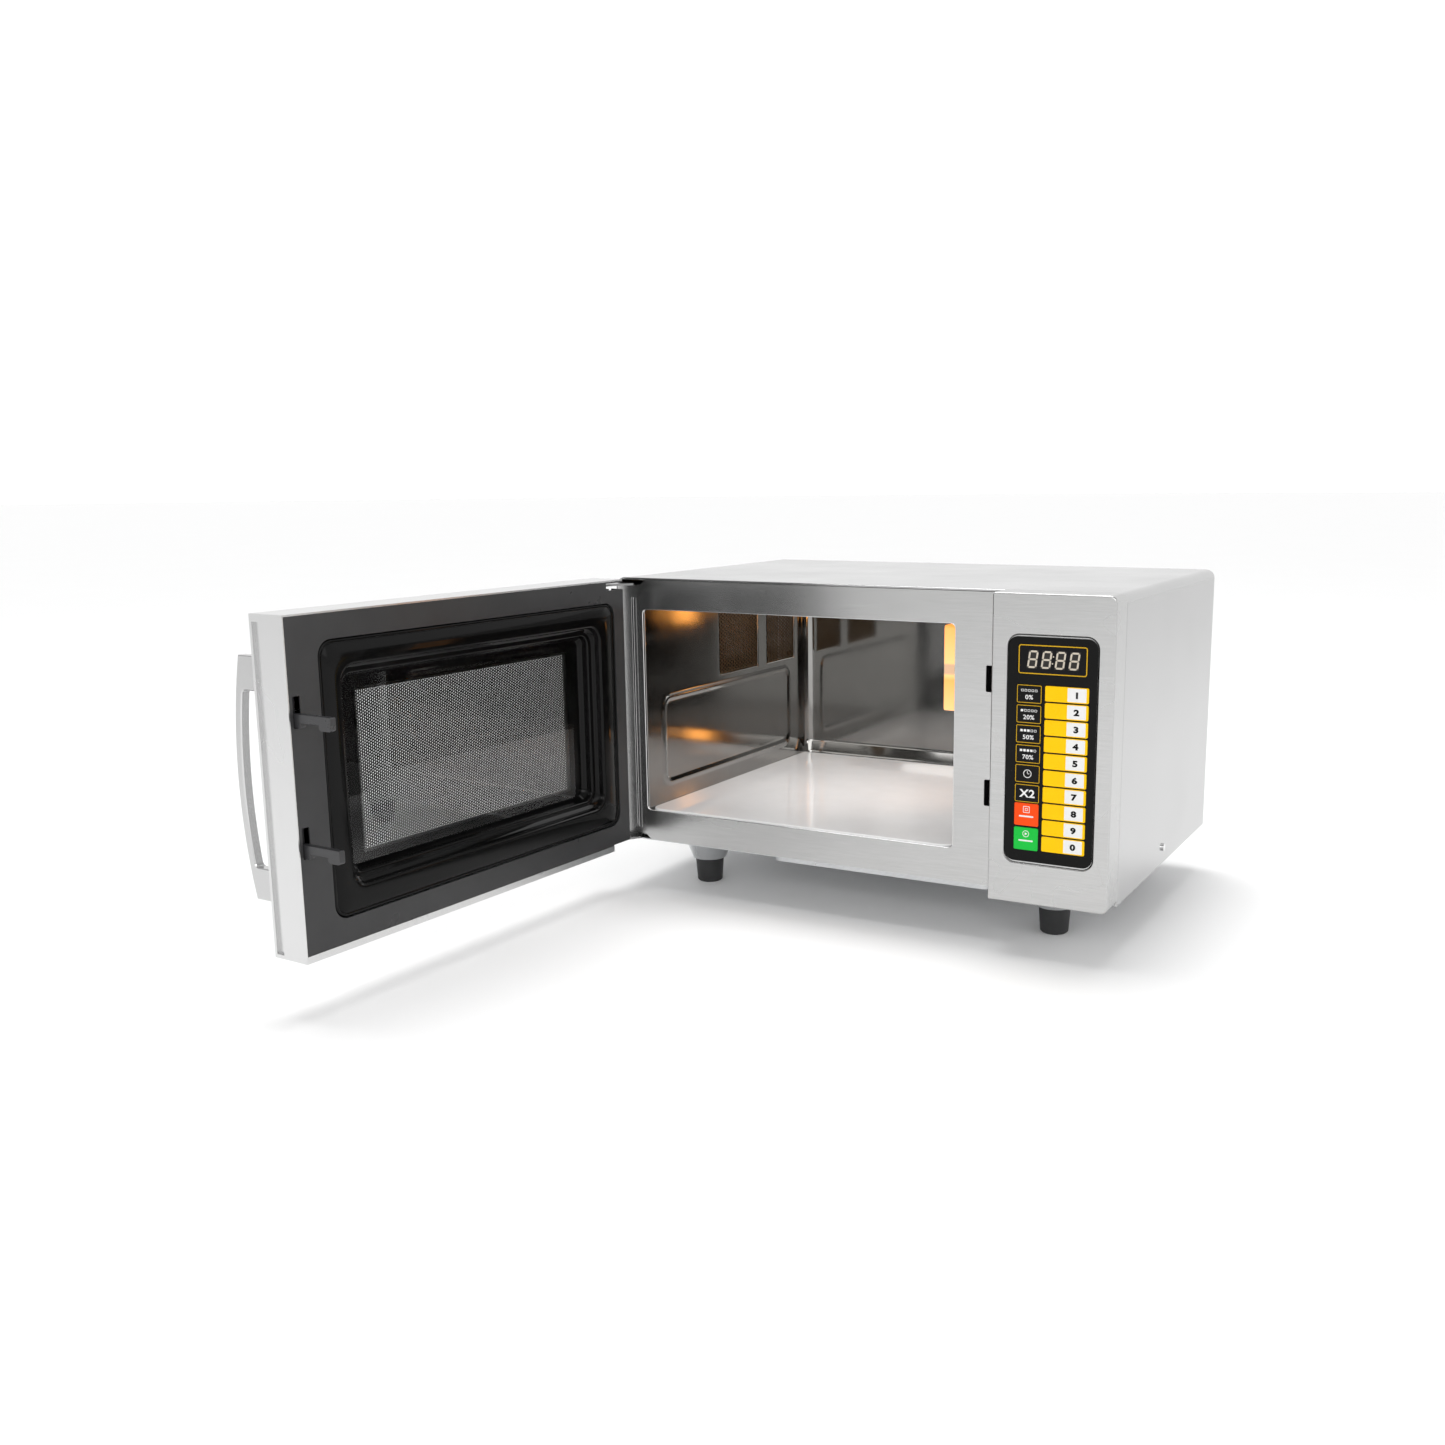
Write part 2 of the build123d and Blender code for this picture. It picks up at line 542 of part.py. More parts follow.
with BuildPart() as lamp_holder:
    slab(side(cavity_right + wall + 0.2), lamp_y - 18, lamp_y + 18, lamp_z - 32, lamp_z + 32, 1.2, 2.0)
    disc(side(cavity_right + wall + 0.2), lamp_y, lamp_z, 12.0, 1.2, Mode.SUBTRACT)
    slab(side(cavity_right + wall + 1.4), lamp_y - 11, lamp_y + 11, lamp_z + 22, lamp_z + 24, 18.0)
finish(lamp_holder, "lamp_holder")

# =============================================================== hinges

arm_half, arm_thickness = 6.0, 2.0
upper_arm, lower_arm = 307.0, 50.8
bracket_right = hinge_x + 20.0
bracket_left = hinge_x + 1.4

with BuildPart() as hinge_brackets:
    for arm_z, plate_bottom, plate_top in ((upper_arm, 268.0, upper_arm + arm_thickness),
                                           (lower_arm, lower_arm, 92.0)):
        # level arm that runs from behind the frame to the pin
        with BuildSketch(Plane.XY.offset(arm_z)):
            with BuildLine():
                Polyline((hinge_x - 2.4, hinge_y), (hinge_x - 2.4, front_y - 4),
                         (bracket_left, front_y - 1), (bracket_left, front_y + 3),
                         (bracket_right, front_y + 3), (bracket_right, front_y - 3),
                         (hinge_x + arm_half, hinge_y + 4), (hinge_x + arm_half, hinge_y),
                         (hinge_x - 2.4, hinge_y))
            make_face()
            with Locations((hinge_x + 1.8, hinge_y)):
                Circle(4.2)
        extrude(amount=arm_thickness)
        slab(face(front_y + sheet + 0.05), bracket_left, bracket_right, plate_bottom, plate_top,
             -arm_thickness)
        disc(Plane.XY.offset(arm_z - 1), hinge_x, hinge_y, pin_radius, arm_thickness + 2, Mode.SUBTRACT)
finish(hinge_brackets, "hinge_brackets")

with BuildPart() as hinge_pins:
    disc(Plane.XY.offset(295.0), hinge_x, hinge_y, pin_radius, upper_arm + arm_thickness - 295.0)
    disc(Plane.XY.offset(lower_arm), hinge_x, hinge_y, pin_radius, 12.5)
finish(hinge_pins, "hinge_pins")

# =============================================================== door

lower_notch_top = 55.0

with BuildPart() as door_skin:
    thickness = door_inside - door_outside
    slab(door_face(door_outside), door_left, door_right, door_bottom, door_top, -thickness)
    fillet(door_skin.faces().sort_by(Axis(hinge, door_through))[0].edges(), 2.0)
    slab(door_face(door_outside + sheet), door_left + sheet, door_right - sheet, door_bottom + sheet,
         door_top - sheet, -thickness, 0.0, Mode.SUBTRACT)
    # the folded edge shows as a lip round the inner frame, widest along the bottom
    with BuildSketch(door_face(door_inside - sheet)):
        area(door_left, door_right, door_bottom, door_top)
        area(door_left + 1.0, door_right - 1.0, 54.0, door_top - 1.4, 0.0, Mode.SUBTRACT)
    extrude(amount=-sheet)
    slab(door_face(door_outside - 1), window_left, window_right, window_bottom, window_top,
         -4.0, 10.0, Mode.SUBTRACT)
    # the hinge edge is left to the inner frame, apart from a narrow fold
    slab(door_face(skin_fold), door_left - 1, door_left + sheet, door_bottom - 1, door_top + 1, -40.0,
         0.0, Mode.SUBTRACT)
    # groove along the free edge, closed at both ends
    slab(door_level(door_bottom + sheet), door_right - channel_depth - sheet, door_right,
         channel_low - sheet, channel_high + sheet, door_top - door_bottom - 2 * sheet)
    slab(door_level(door_bottom + 3), door_right - channel_depth, door_right + 1, channel_low,
         channel_high, door_top - door_bottom - 9, 0.0, Mode.SUBTRACT)
    # cut-outs for the two hinge arms
    for bottom, top in ((hinge_slot_bottom, hinge_slot_top), (door_bottom - 1, lower_notch_top)):
        slab(door_face(skin_fold), door_left - 1, hinge_slot_right, bottom, top, -40.0, 0.0,
             Mode.SUBTRACT)
finish(door_skin, "door_skin")

slot_half = hook_thickness / 2 + 0.9
claw_top = 258.0
spring_bottom, spring_top = claw_top + 0.3, claw_top + 24.3
hook_slots = [(top - hook_height - 0.8, top + latch_travel + 8.0) for top in
              (upper_hook_top, lower_hook_top)]

with BuildPart() as door_inner_frame:
    slab(door_face(door_inside - 0.2), door_left + 1.2, door_right - 1.2, 54.2, door_top - 1.6, 1.0)
    with BuildSketch(door_face(door_inside)):
        area(choke_left, choke_right, choke_bottom, choke_top, choke_radius)
        for bottom, top in hook_slots:
            area(hook_middle - slot_half, hook_middle + slot_half, bottom, top, 1.0)
    extrude(amount=3.0, mode=Mode.SUBTRACT)
    # stiffening flange round the choke
    with BuildSketch(door_face(door_inside - 1.2)):
        area(choke_left - 2.0, choke_right + 2.0, choke_bottom - 2.0, choke_top + 2.0, choke_radius + 2)
        area(choke_left - 1.0, choke_right + 1.0, choke_bottom - 1.0, choke_top + 1.0,
             choke_radius + 1, Mode.SUBTRACT)
    extrude(amount=18.0)
    # flange that closes the hinge edge, with gaps at the two bushes
    slab(door_face(skin_fold + 0.3), door_left, door_left + 1.3, 50.0, door_top - 1.6,
         skin_fold + 0.5 - door_inside)
    for bottom, top in bush_spans:
        slab(door_face(skin_fold), door_left - 1, door_left + 1.4, bottom - 0.5, top + 0.5,
             2 * skin_fold, 0.0, Mode.SUBTRACT)
    for bottom, top in ((hinge_slot_bottom, hinge_slot_top), (door_bottom - 1, lower_notch_top)):
        slab(door_face(skin_fold), door_left - 1, hinge_slot_right, bottom, top, -40.0, 0.0,
             Mode.SUBTRACT)
    # ledge that the latch spring pushes against
    slab(door_level(spring_top), hook_middle - 5, hook_middle + 5, 8.0, door_inside - 0.5, 1.5)
finish(door_inner_frame, "door_inner_frame")

with BuildPart() as choke_cover:
    gap, skin = 0.7, 1.5
    ring = door_inside - 0.8
    inner = dict(left=step_left + step_width, right=step_right - step_width,
                 bottom=step_bottom + step_width, top=step_top - step_width)
    # flat ring, a first wall, a ledge, a second wall and the frame round the screen
    slab(door_face(ring), choke_left + gap, choke_right - gap, choke_bottom + gap, choke_top - gap, skin,
         choke_radius - gap)
    fillet(choke_cover.faces().sort_by(Axis(hinge, door_through))[-1].edges(), 1.0)
    slab(door_face(ring - skin), step_left - skin, step_right + skin, step_bottom - skin,
         step_top + skin, ring - skin - middle_level + skin, step_radius + skin)
    slab(door_face(middle_level - skin), inner["left"] - skin, inner["right"] + skin,
         inner["bottom"] - skin, inner["top"] + skin, middle_level - screen_level, step_radius - 3 + skin)
    slab(door_face(ring), step_left, step_right, step_bottom, step_top, ring - middle_level,
         step_radius, Mode.SUBTRACT)
    slab(door_face(middle_level), inner["left"], inner["right"], inner["bottom"], inner["top"],
         middle_level - screen_level, step_radius - 3, Mode.SUBTRACT)
    slab(door_face(screen_level + 1), screen_left - 3, screen_right + 3, screen_bottom - 3,
         screen_top + 3, 8.0, 4.0, Mode.SUBTRACT)
finish(choke_cover, "choke_cover")

screen_back = screen_level - 1.5

with BuildPart() as door_screen:
    slab(door_face(screen_back), step_left + 6, step_right - 6, step_bottom + 6, step_top - 6, 0.8, 6.0)
finish(door_screen, "door_screen")

glass_thickness = 4.0

with BuildPart() as door_glass:
    slab(door_face(door_outside + sheet + glass_thickness), window_left - 8, window_right + 8,
         window_bottom - 8, window_top + 8, glass_thickness, 4.0)
finish(door_glass, "door_glass")

with BuildPart() as hinge_bushes:
    for bottom, top in bush_spans:
        slab(door_level(bottom), door_left + sheet, 7.0, -6.0, 6.0, top - bottom)
        disc(door_level(bottom), 0, 0, pin_radius + pin_clearance, top - bottom, Mode.SUBTRACT)
finish(hinge_bushes, "hinge_bushes")

with BuildPart() as door_handle:
    # side profile: two feet on the door, bowed outside, with the finger gap cut through
    end, crown = door_outside - handle_end_depth, door_outside - handle_end_depth - handle_bow
    middle = (handle_bottom + handle_top) / 2
    with BuildSketch(door_end(handle_left)):
        with BuildLine():
            Polyline((end, handle_bottom), (door_outside, handle_bottom), (door_outside, handle_top),
                     (end, handle_top))
            ThreePointArc((end, handle_bottom), (crown, middle), (end, handle_top))
        make_face()
        with BuildLine():
            inner_end, inner_crown = crown + grip_thickness + 6, crown + grip_thickness
            Polyline((inner_end, grip_bottom), (door_outside + 1, grip_bottom),
                     (door_outside + 1, grip_top), (inner_end, grip_top))
            ThreePointArc((inner_end, grip_bottom), (inner_crown, (grip_bottom + grip_top) / 2),
                          (inner_end, grip_top))
        make_face(mode=Mode.SUBTRACT)
    extrude(amount=handle_right - handle_left)
    grip_corners = door_handle.edges().filter_by(Axis(hinge, door_along)).group_by(Axis.Z)[1:-1]
    for group in grip_corners:
        fillet(group.sort_by(Axis(hinge, door_through))[:1], 4.0)
    rims = door_handle.faces().filter_by(Axis(hinge, door_along)).edges()
    chamfer([rim for rim in rims if (rim.center() - hinge).dot(door_through) < door_outside - 0.1], 0.8)
finish(door_handle, "door_handle")

with BuildPart() as handle_screws:
    for z in (handle_bottom + 13, handle_top - 13):
        disc(door_face(door_outside + sheet), (handle_left + handle_right) / 2, z, 4.5, -3.0)
finish(handle_screws, "handle_screws")

with BuildPart() as latch_claw:
    left = hook_middle - hook_thickness / 2
    # upright bar inside the door with the two hooks standing out of it
    slab(door_end(left), 9.0, 17.0, 118.0, claw_top, hook_thickness, 2.0)
    for top in (upper_hook_top, lower_hook_top):
        slab(door_end(left), 15.0, hook_tip, top - hook_arm_height, top, hook_thickness, 1.5)
        slab(door_end(left), hook_tip - 12.5, hook_tip, top - hook_height, top, hook_thickness, 2.5)
        slab(door_end(left), 15.0, 28.0, top - hook_height, top, hook_thickness, 2.0)
finish(latch_claw, "latch_claw")

with BuildPart() as latch_spring:
    disc(door_level(spring_bottom), hook_middle, 13.0, 3.4, spring_top - spring_bottom)
    disc(door_level(spring_bottom), hook_middle, 13.0, 2.4, spring_top - spring_bottom, Mode.SUBTRACT)
finish(latch_spring, "latch_spring")
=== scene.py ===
"""Looks for the counter-top microwave oven: brushed steel case, stepped black door, lit cavity and keypad.

Metres, in the row frame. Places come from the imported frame, and `MM` turns millimetres into metres.
"""

import json
from math import cos, hypot, pi, radians, sin

import bmesh
import bpy
from mathutils import Matrix, Vector

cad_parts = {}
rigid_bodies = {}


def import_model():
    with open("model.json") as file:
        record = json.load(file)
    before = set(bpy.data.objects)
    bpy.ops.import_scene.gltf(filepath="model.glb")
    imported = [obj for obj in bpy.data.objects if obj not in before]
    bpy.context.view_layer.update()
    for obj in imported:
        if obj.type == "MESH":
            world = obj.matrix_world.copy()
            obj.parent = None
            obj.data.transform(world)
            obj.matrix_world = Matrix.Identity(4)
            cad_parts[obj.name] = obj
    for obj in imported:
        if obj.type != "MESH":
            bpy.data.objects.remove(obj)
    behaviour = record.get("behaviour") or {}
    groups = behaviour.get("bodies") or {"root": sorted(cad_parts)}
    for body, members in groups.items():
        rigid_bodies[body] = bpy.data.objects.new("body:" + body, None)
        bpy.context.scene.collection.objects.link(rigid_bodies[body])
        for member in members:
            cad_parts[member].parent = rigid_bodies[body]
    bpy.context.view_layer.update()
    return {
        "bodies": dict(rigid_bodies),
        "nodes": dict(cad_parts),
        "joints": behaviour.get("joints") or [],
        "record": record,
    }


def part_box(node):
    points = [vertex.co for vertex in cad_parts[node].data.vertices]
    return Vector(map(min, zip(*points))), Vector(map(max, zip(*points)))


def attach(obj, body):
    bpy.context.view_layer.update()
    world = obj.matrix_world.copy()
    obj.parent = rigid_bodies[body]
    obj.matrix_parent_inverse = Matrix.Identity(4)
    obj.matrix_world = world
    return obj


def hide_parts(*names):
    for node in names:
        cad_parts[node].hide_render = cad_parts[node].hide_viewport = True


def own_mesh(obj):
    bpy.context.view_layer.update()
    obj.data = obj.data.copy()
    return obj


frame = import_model()

MM = 0.001
nodes = frame["nodes"]
joints = {joint["name"]: joint for joint in frame["joints"]}

# =============================================================== materials


class Shader:
    """A Principled material with the few node chains that the finishes below share."""

    def __init__(self, name, color, roughness, metallic=0.0, **sockets):
        self.material = bpy.data.materials.new(name)
        self.material.use_nodes = True
        self.tree = self.material.node_tree
        self.surface = self.tree.nodes["Principled BSDF"]
        self.color, self.roughness = color, roughness
        self.set("Base Color", (*color, 1.0))
        self.set("Roughness", roughness)
        self.set("Metallic", metallic)
        for socket, value in sockets.items():
            self.set(socket.replace("_", " "), value)

    def set(self, socket, value):
        self.surface.inputs[socket].default_value = value

    def node(self, kind, **values):
        """Add a node and set its plain properties or its inputs by name."""
        made = self.tree.nodes.new(kind)
        for key, value in values.items():
            if hasattr(made, key):
                setattr(made, key, value)
            else:
                made.inputs[key.replace("_", " ")].default_value = value
        return made

    def link(self, source, target):
        self.tree.links.new(source, target)

    def noise(self, stretch, scale, detail=3.0):
        """Noise in the object's own coordinates, stretched by a factor along each axis."""
        place = self.node("ShaderNodeTexCoord")
        mapping = self.node("ShaderNodeMapping", Scale=stretch)
        texture = self.node("ShaderNodeTexNoise", Scale=scale, Detail=detail, Roughness=0.6)
        self.link(place.outputs["Object"], mapping.inputs["Vector"])
        self.link(mapping.outputs["Vector"], texture.inputs["Vector"])
        return texture.outputs["Fac"]

    def vary_color(self, factor, spread):
        """Run the base colour between a darker and a lighter shade by a 0..1 factor."""
        ramp = self.node("ShaderNodeValToRGB")
        low, high = ramp.color_ramp.elements
        low.position, high.position = 0.3, 0.7
        low.color = (*[c * (1 - spread) for c in self.color], 1.0)
        high.color = (*[min(1.0, c * (1 + spread)) for c in self.color], 1.0)
        self.link(factor, ramp.inputs["Fac"])
        self.link(ramp.outputs["Color"], self.surface.inputs["Base Color"])

    def vary_roughness(self, factor, spread):
        span = self.node("ShaderNodeMapRange", To_Min=self.roughness - spread,
                         To_Max=self.roughness + spread)
        span.inputs["From Min"].default_value, span.inputs["From Max"].default_value = 0.3, 0.7
        self.link(factor, span.inputs["Value"])
        self.link(span.outputs["Result"], self.surface.inputs["Roughness"])

    def bump(self, factor, height):
        bump = self.node("ShaderNodeBump", Strength=1.0, Distance=height)
        self.link(factor, bump.inputs["Height"])
        self.link(bump.outputs["Normal"], self.surface.inputs["Normal"])


def brushed(name, color, roughness, grain, depth=0.004 * MM, spread=0.05):
    """Steel with fine scratches that run along the axis whose entry in `grain` is small."""
    shader = Shader(name, color, roughness, metallic=1.0)
    scratches = shader.noise(grain, 1500.0, 3.0)
    clouds = shader.noise((1, 1, 1), 9.0, 2.0)
    shader.vary_color(scratches, spread)
    shader.vary_roughness(clouds, 0.03)
    shader.bump(scratches, depth)
    return shader.material


def polished(name, color, roughness):
    """Bright sheet steel with a faint rolled waviness and a few cloudy patches."""
    shader = Shader(name, color, roughness, metallic=1.0)
    shader.vary_color(shader.noise((1, 1, 1), 60.0), 0.03)
    shader.vary_roughness(shader.noise((1, 1, 1), 14.0), roughness * 0.3)
    shader.bump(shader.noise((1, 1, 1), 16.0, 1.0), 0.02 * MM)
    return shader.material


def moulded(name, color, roughness, texture_height=0.02 * MM, texture_scale=1800.0, spread=0.08,
            **sockets):
    """Plastic, enamel or rubber with a fine surface texture and slight changes of shade."""
    shader = Shader(name, color, roughness, **sockets)
    shader.vary_color(shader.noise((1, 1, 1), 25.0), spread)
    shader.vary_roughness(shader.noise((1, 1, 1), 45.0), min(0.05, roughness * 0.4))
    shader.bump(shader.noise((1, 1, 1), texture_scale, 1.0), texture_height)
    return shader.material


def glowing(name, box):
    """Thin frosted cover lit from behind: amber, with a paler band where the lamp's holder stands."""
    shader = Shader(name, (0.30, 0.16, 0.06), 0.25)
    low, high = box
    place = shader.node("ShaderNodeTexCoord")
    axes = shader.node("ShaderNodeSeparateXYZ")
    level = shader.node("ShaderNodeMapRange")
    level.inputs["From Min"].default_value, level.inputs["From Max"].default_value = low.z, high.z
    ramp = shader.node("ShaderNodeValToRGB")
    amber, bright, pale = (1.0, 0.33, 0.06, 1.0), (1.0, 0.48, 0.18, 1.0), (0.42, 0.28, 0.19, 1.0)
    stops = ((0.0, bright), (0.36, amber), (0.42, bright), (0.44, pale), (0.54, pale), (0.56, bright),
             (1.0, amber))
    ramp.color_ramp.elements[0].color, ramp.color_ramp.elements[1].color = stops[0][1], stops[-1][1]
    for position, color in stops[1:-1]:
        ramp.color_ramp.elements.new(position).color = color
    shader.link(place.outputs["Object"], axes.inputs["Vector"])
    shader.link(axes.outputs["Z"], level.inputs["Value"])
    shader.link(level.outputs["Result"], ramp.inputs["Fac"])
    shader.link(ramp.outputs["Color"], shader.surface.inputs["Emission Color"])
    shader.set("Emission Strength", 1.35)
    shader.vary_color(shader.noise((1, 1, 1), 200.0), 0.05)
    shader.bump(shader.noise((1, 1, 1), 400.0, 1.0), 0.01 * MM)
    return shader.material


ALONG_X, ALONG_Y, ALONG_Z = (0.03, 1.0, 1.0), (1.0, 0.03, 1.0), (1.0, 1.0, 0.03)
STEEL = (0.50, 0.50, 0.497)
MATT = {"Specular_IOR_Level": 0.12}

materials = {
    "cover_steel": brushed("cover_steel", (0.47, 0.47, 0.47), 0.20, ALONG_Y, 0.001 * MM, 0.015),
    "frame_steel": brushed("frame_steel", STEEL, 0.25, ALONG_X, spread=0.06),
    "fascia_steel": brushed("fascia_steel", STEEL, 0.27, ALONG_X, spread=0.06),
    "door_steel": brushed("door_steel", (0.66, 0.66, 0.66), 0.26, ALONG_Z, 0.002 * MM, 0.02),
    "handle_steel": brushed("handle_steel", (0.55, 0.55, 0.55), 0.20, ALONG_Z, 0.002 * MM, 0.02),
    "cavity_steel": polished("cavity_steel", (0.28, 0.275, 0.265), 0.10),
    "plated_steel": polished("plated_steel", (0.58, 0.59, 0.60), 0.34),
    "motor_steel": polished("motor_steel", (0.50, 0.50, 0.50), 0.35),
    "hinge_steel": polished("hinge_steel", (0.26, 0.26, 0.26), 0.30),
    "screw_steel": polished("screw_steel", (0.72, 0.72, 0.72), 0.20),
    "spring_steel": polished("spring_steel", (0.60, 0.60, 0.60), 0.25),
    "core_iron": moulded("core_iron", (0.16, 0.15, 0.14), 0.55, spread=0.2),
    "winding_copper": polished("winding_copper", (0.70, 0.36, 0.17), 0.30),
    "aluminium_sheet": polished("aluminium_sheet", (0.80, 0.80, 0.81), 0.32),
    "capacitor_can": polished("capacitor_can", (0.72, 0.72, 0.73), 0.28),
    "shelf_ceramic": moulded("shelf_ceramic", (0.92, 0.92, 0.925), 0.16, 0.005 * MM, 300.0, 0.01,
                             Coat_Weight=0.35, Coat_Roughness=0.05),
    "seal_silicone": moulded("seal_silicone", (0.45, 0.45, 0.44), 0.5),
    "foot_rubber": moulded("foot_rubber", (0.022, 0.022, 0.023), 0.55, 0.05 * MM, 1200.0, 0.2),
    "overlay_black": moulded("overlay_black", (0.004, 0.004, 0.004), 0.20, 0.004 * MM, 900.0, **MATT),
    "display_black": moulded("display_black", (0.004, 0.004, 0.005), 0.12, 0.002 * MM, 900.0, **MATT),
    "key_black": moulded("key_black", (0.005, 0.005, 0.005), 0.24, 0.006 * MM, 900.0, **MATT),
    "key_yellow": moulded("key_yellow", (1.0, 0.57, 0.0), 0.30, 0.006 * MM, 900.0, 0.03, **MATT),
    "key_red": moulded("key_red", (0.92, 0.075, 0.006), 0.30, 0.006 * MM, 900.0, 0.03, **MATT),
    "key_green": moulded("key_green", (0.012, 0.52, 0.055), 0.30, 0.006 * MM, 900.0, 0.03, **MATT),
    "board_green": moulded("board_green", (0.03, 0.17, 0.07), 0.35),
    "black_plastic": moulded("black_plastic", (0.02, 0.02, 0.021), 0.42, 0.04 * MM),
    "fan_plastic": moulded("fan_plastic", (0.09, 0.09, 0.09), 0.45, 0.04 * MM),
    "bush_plastic": moulded("bush_plastic", (0.03, 0.03, 0.03), 0.40),
    "latch_plastic": moulded("latch_plastic", (0.028, 0.028, 0.03), 0.30, 0.02 * MM),
    "door_gloss_black": moulded("door_gloss_black", (0.034, 0.034, 0.035), 0.32, 0.01 * MM, 700.0, 0.10,
                                Specular_IOR_Level=0.35),
    "choke_gloss_black": moulded("choke_gloss_black", (0.003, 0.003, 0.003), 0.09, 0.002 * MM, 30.0,
                                 Specular_IOR_Level=0.14),
    "screen_black": moulded("screen_black", (0.012, 0.012, 0.012), 0.35, **MATT),
    "door_glass": moulded("door_glass", (0.93, 0.94, 0.94), 0.03, 0.002 * MM, 60.0, 0.01,
                          Transmission_Weight=1.0, IOR=1.45),
    "lamp_glass": moulded("lamp_glass", (1.0, 0.80, 0.50), 0.20, 0.01 * MM, 200.0, 0.03,
                          Emission_Color=(1.0, 0.62, 0.25, 1.0), Emission_Strength=2.0),
    "lamp_amber": glowing("lamp_amber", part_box("lamp_cover")),
}
print_white = moulded("print_white", (0.80, 0.80, 0.79), 0.35, 0.004 * MM, 900.0, 0.03)
print_black = moulded("print_black", (0.004, 0.004, 0.004), 0.32, 0.004 * MM, 900.0, **MATT)
print_amber = moulded("print_amber", (0.62, 0.36, 0.01), 0.32, 0.004 * MM, 900.0, 0.04, **MATT)
print_panel = moulded("print_panel", (0.80, 0.80, 0.79), 0.32, 0.004 * MM, 900.0, 0.02, **MATT)
segment_cream = moulded("segment_cream", (0.58, 0.52, 0.43), 0.35, 0.004 * MM, 900.0, 0.05, **MATT)
segment_cell = moulded("segment_cell", (0.030, 0.028, 0.026), 0.40, 0.004 * MM, 900.0, 0.05, **MATT)
# lip steel: much lighter than the frame steel, a painted highlight along the rolled edge of the mouth
painted_highlight_lip_steel = polished("painted_highlight_lip_steel", (0.80, 0.80, 0.80), 0.20)
# rib steel: darker than the frame steel, a painted reflection of the dark door beside the ribs
painted_dark_rib_steel = polished("painted_dark_rib_steel", (0.34, 0.34, 0.34), 0.22)
vent_steel = polished("vent_steel", (0.20, 0.13, 0.07), 0.40)
clear_film = moulded("clear_film", (0.97, 0.97, 0.97), 0.0, 0.0005 * MM, 20.0, 0.01,
                     Transmission_Weight=1.0, IOR=1.42)

for entry in frame["record"]["subparts"]:
    part = nodes[entry["node"]]
    part.data.materials.clear()
    part.data.materials.append(materials[entry["material_slot"]])

# =============================================================== mesh tools


def build(name, points, faces, material, body, slot):
    """A mesh object from points and faces, riding on a body."""
    mesh = bpy.data.meshes.new(name)
    mesh.from_pydata([tuple(p) for p in points], [], faces)
    mesh.validate()
    clean = bmesh.new()
    clean.from_mesh(mesh)
    bmesh.ops.remove_doubles(clean, verts=clean.verts, dist=1e-7)
    bmesh.ops.recalc_face_normals(clean, faces=clean.faces)
    clean.to_mesh(mesh)
    clean.free()
    mesh.materials.append(material)
    piece = bpy.data.objects.new(name, mesh)
    bpy.context.scene.collection.objects.link(piece)
    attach(piece, body)
    return piece


def smooth_by_angle(piece, degrees):
    """Shade smooth but keep the edges sharper than the given angle crisp."""
    piece.data.shade_smooth()
    piece.data.set_sharp_from_angle(angle=radians(degrees))


def rounded_rectangle(left, right, bottom, top, radius, steps=8):
    """Points round a rectangle with rounded corners, anticlockwise from the lower right."""
    corners = ((right - radius, bottom + radius, -90), (right - radius, top - radius, 0),
               (left + radius, top - radius, 90), (left + radius, bottom + radius, 180))
    turns = [(x, z, radians(start + 90 * i / steps)) for x, z, start in corners for i in range(steps + 1)]
    return [(x + radius * cos(turn), z + radius * sin(turn)) for x, z, turn in turns]


def skin_loops(loops, closed=False):
    """Faces that join each loop of points to the next one."""
    count = len(loops[0])
    points = [p for loop in loops for p in loop]
    pairs = list(zip(range(len(loops) - 1), range(1, len(loops))))
    if closed:
        pairs.append((len(loops) - 1, 0))
    faces = [(a * count + i, a * count + (i + 1) % count, b * count + (i + 1) % count, b * count + i)
             for a, b in pairs for i in range(count)]
    return points, faces


def plate(outline, front, back, place):
    """A closed flat piece: an outline extruded between two depths, put in space by `place`."""
    count = len(outline)
    points = [place(u, v, front) for u, v in outline] + [place(u, v, back) for u, v in outline]
    faces = [tuple(range(count)), tuple(reversed(range(count, 2 * count)))]
    faces += [(i, i + count, (i + 1) % count + count, (i + 1) % count) for i in range(count)]
    return points, faces


def join(shapes):
    """One list of points and one of faces out of several."""
    points, faces = [], []
    for more_points, more_faces in shapes:
        start = len(points)
        points += list(more_points)
        faces += [tuple(i + start for i in face) for face in more_faces]
    return points, faces


def ring(left, right, bottom, top, radius, width, front, back, place, steps=6):
    """A closed frame of even width round a rounded rectangle."""
    outer = rounded_rectangle(left, right, bottom, top, radius, steps)
    inner = rounded_rectangle(left + width, right - width, bottom + width, top - width,
                              max(radius - width, 0.01 * MM), steps)
    loops = [[place(u, v, d) for u, v in line] for line, d in
             ((outer, front), (outer, back), (inner, back), (inner, front))]
    return skin_loops(loops, closed=True)


# =============================================================== door

door_joint = joints["door_hinge"]
door_turn = radians(-door_joint["range_deg"][1])
hinge = Vector((door_joint["pos_m"][0], door_joint["pos_m"][1], 0.0))
along = Vector((cos(door_turn), sin(door_turn), 0.0))
through = Vector((-sin(door_turn), cos(door_turn), 0.0))


def on_door(s, z, n):
    """A point of the door: along its width from the hinge, up, and through towards the inside."""
    return hinge + along * s + through * n + Vector((0, 0, z))


def door_box(node):
    """Lowest and highest (along, up, through) of a door node."""
    spots = [((v.co - hinge).dot(along), v.co.z, (v.co - hinge).dot(through))
             for v in nodes[node].data.vertices]
    return [min(column) for column in zip(*spots)], [max(column) for column in zip(*spots)]


def inset_loop(box, inset, radius, depth, steps=10):
    """A rounded rectangle on the door, drawn in by `inset` from a (left, right, bottom, top) box."""
    left, right, bottom, top = box
    line = rounded_rectangle(left + inset, right - inset, bottom + inset, top - inset, radius, steps)
    return [on_door(s, z, depth) for s, z in line]


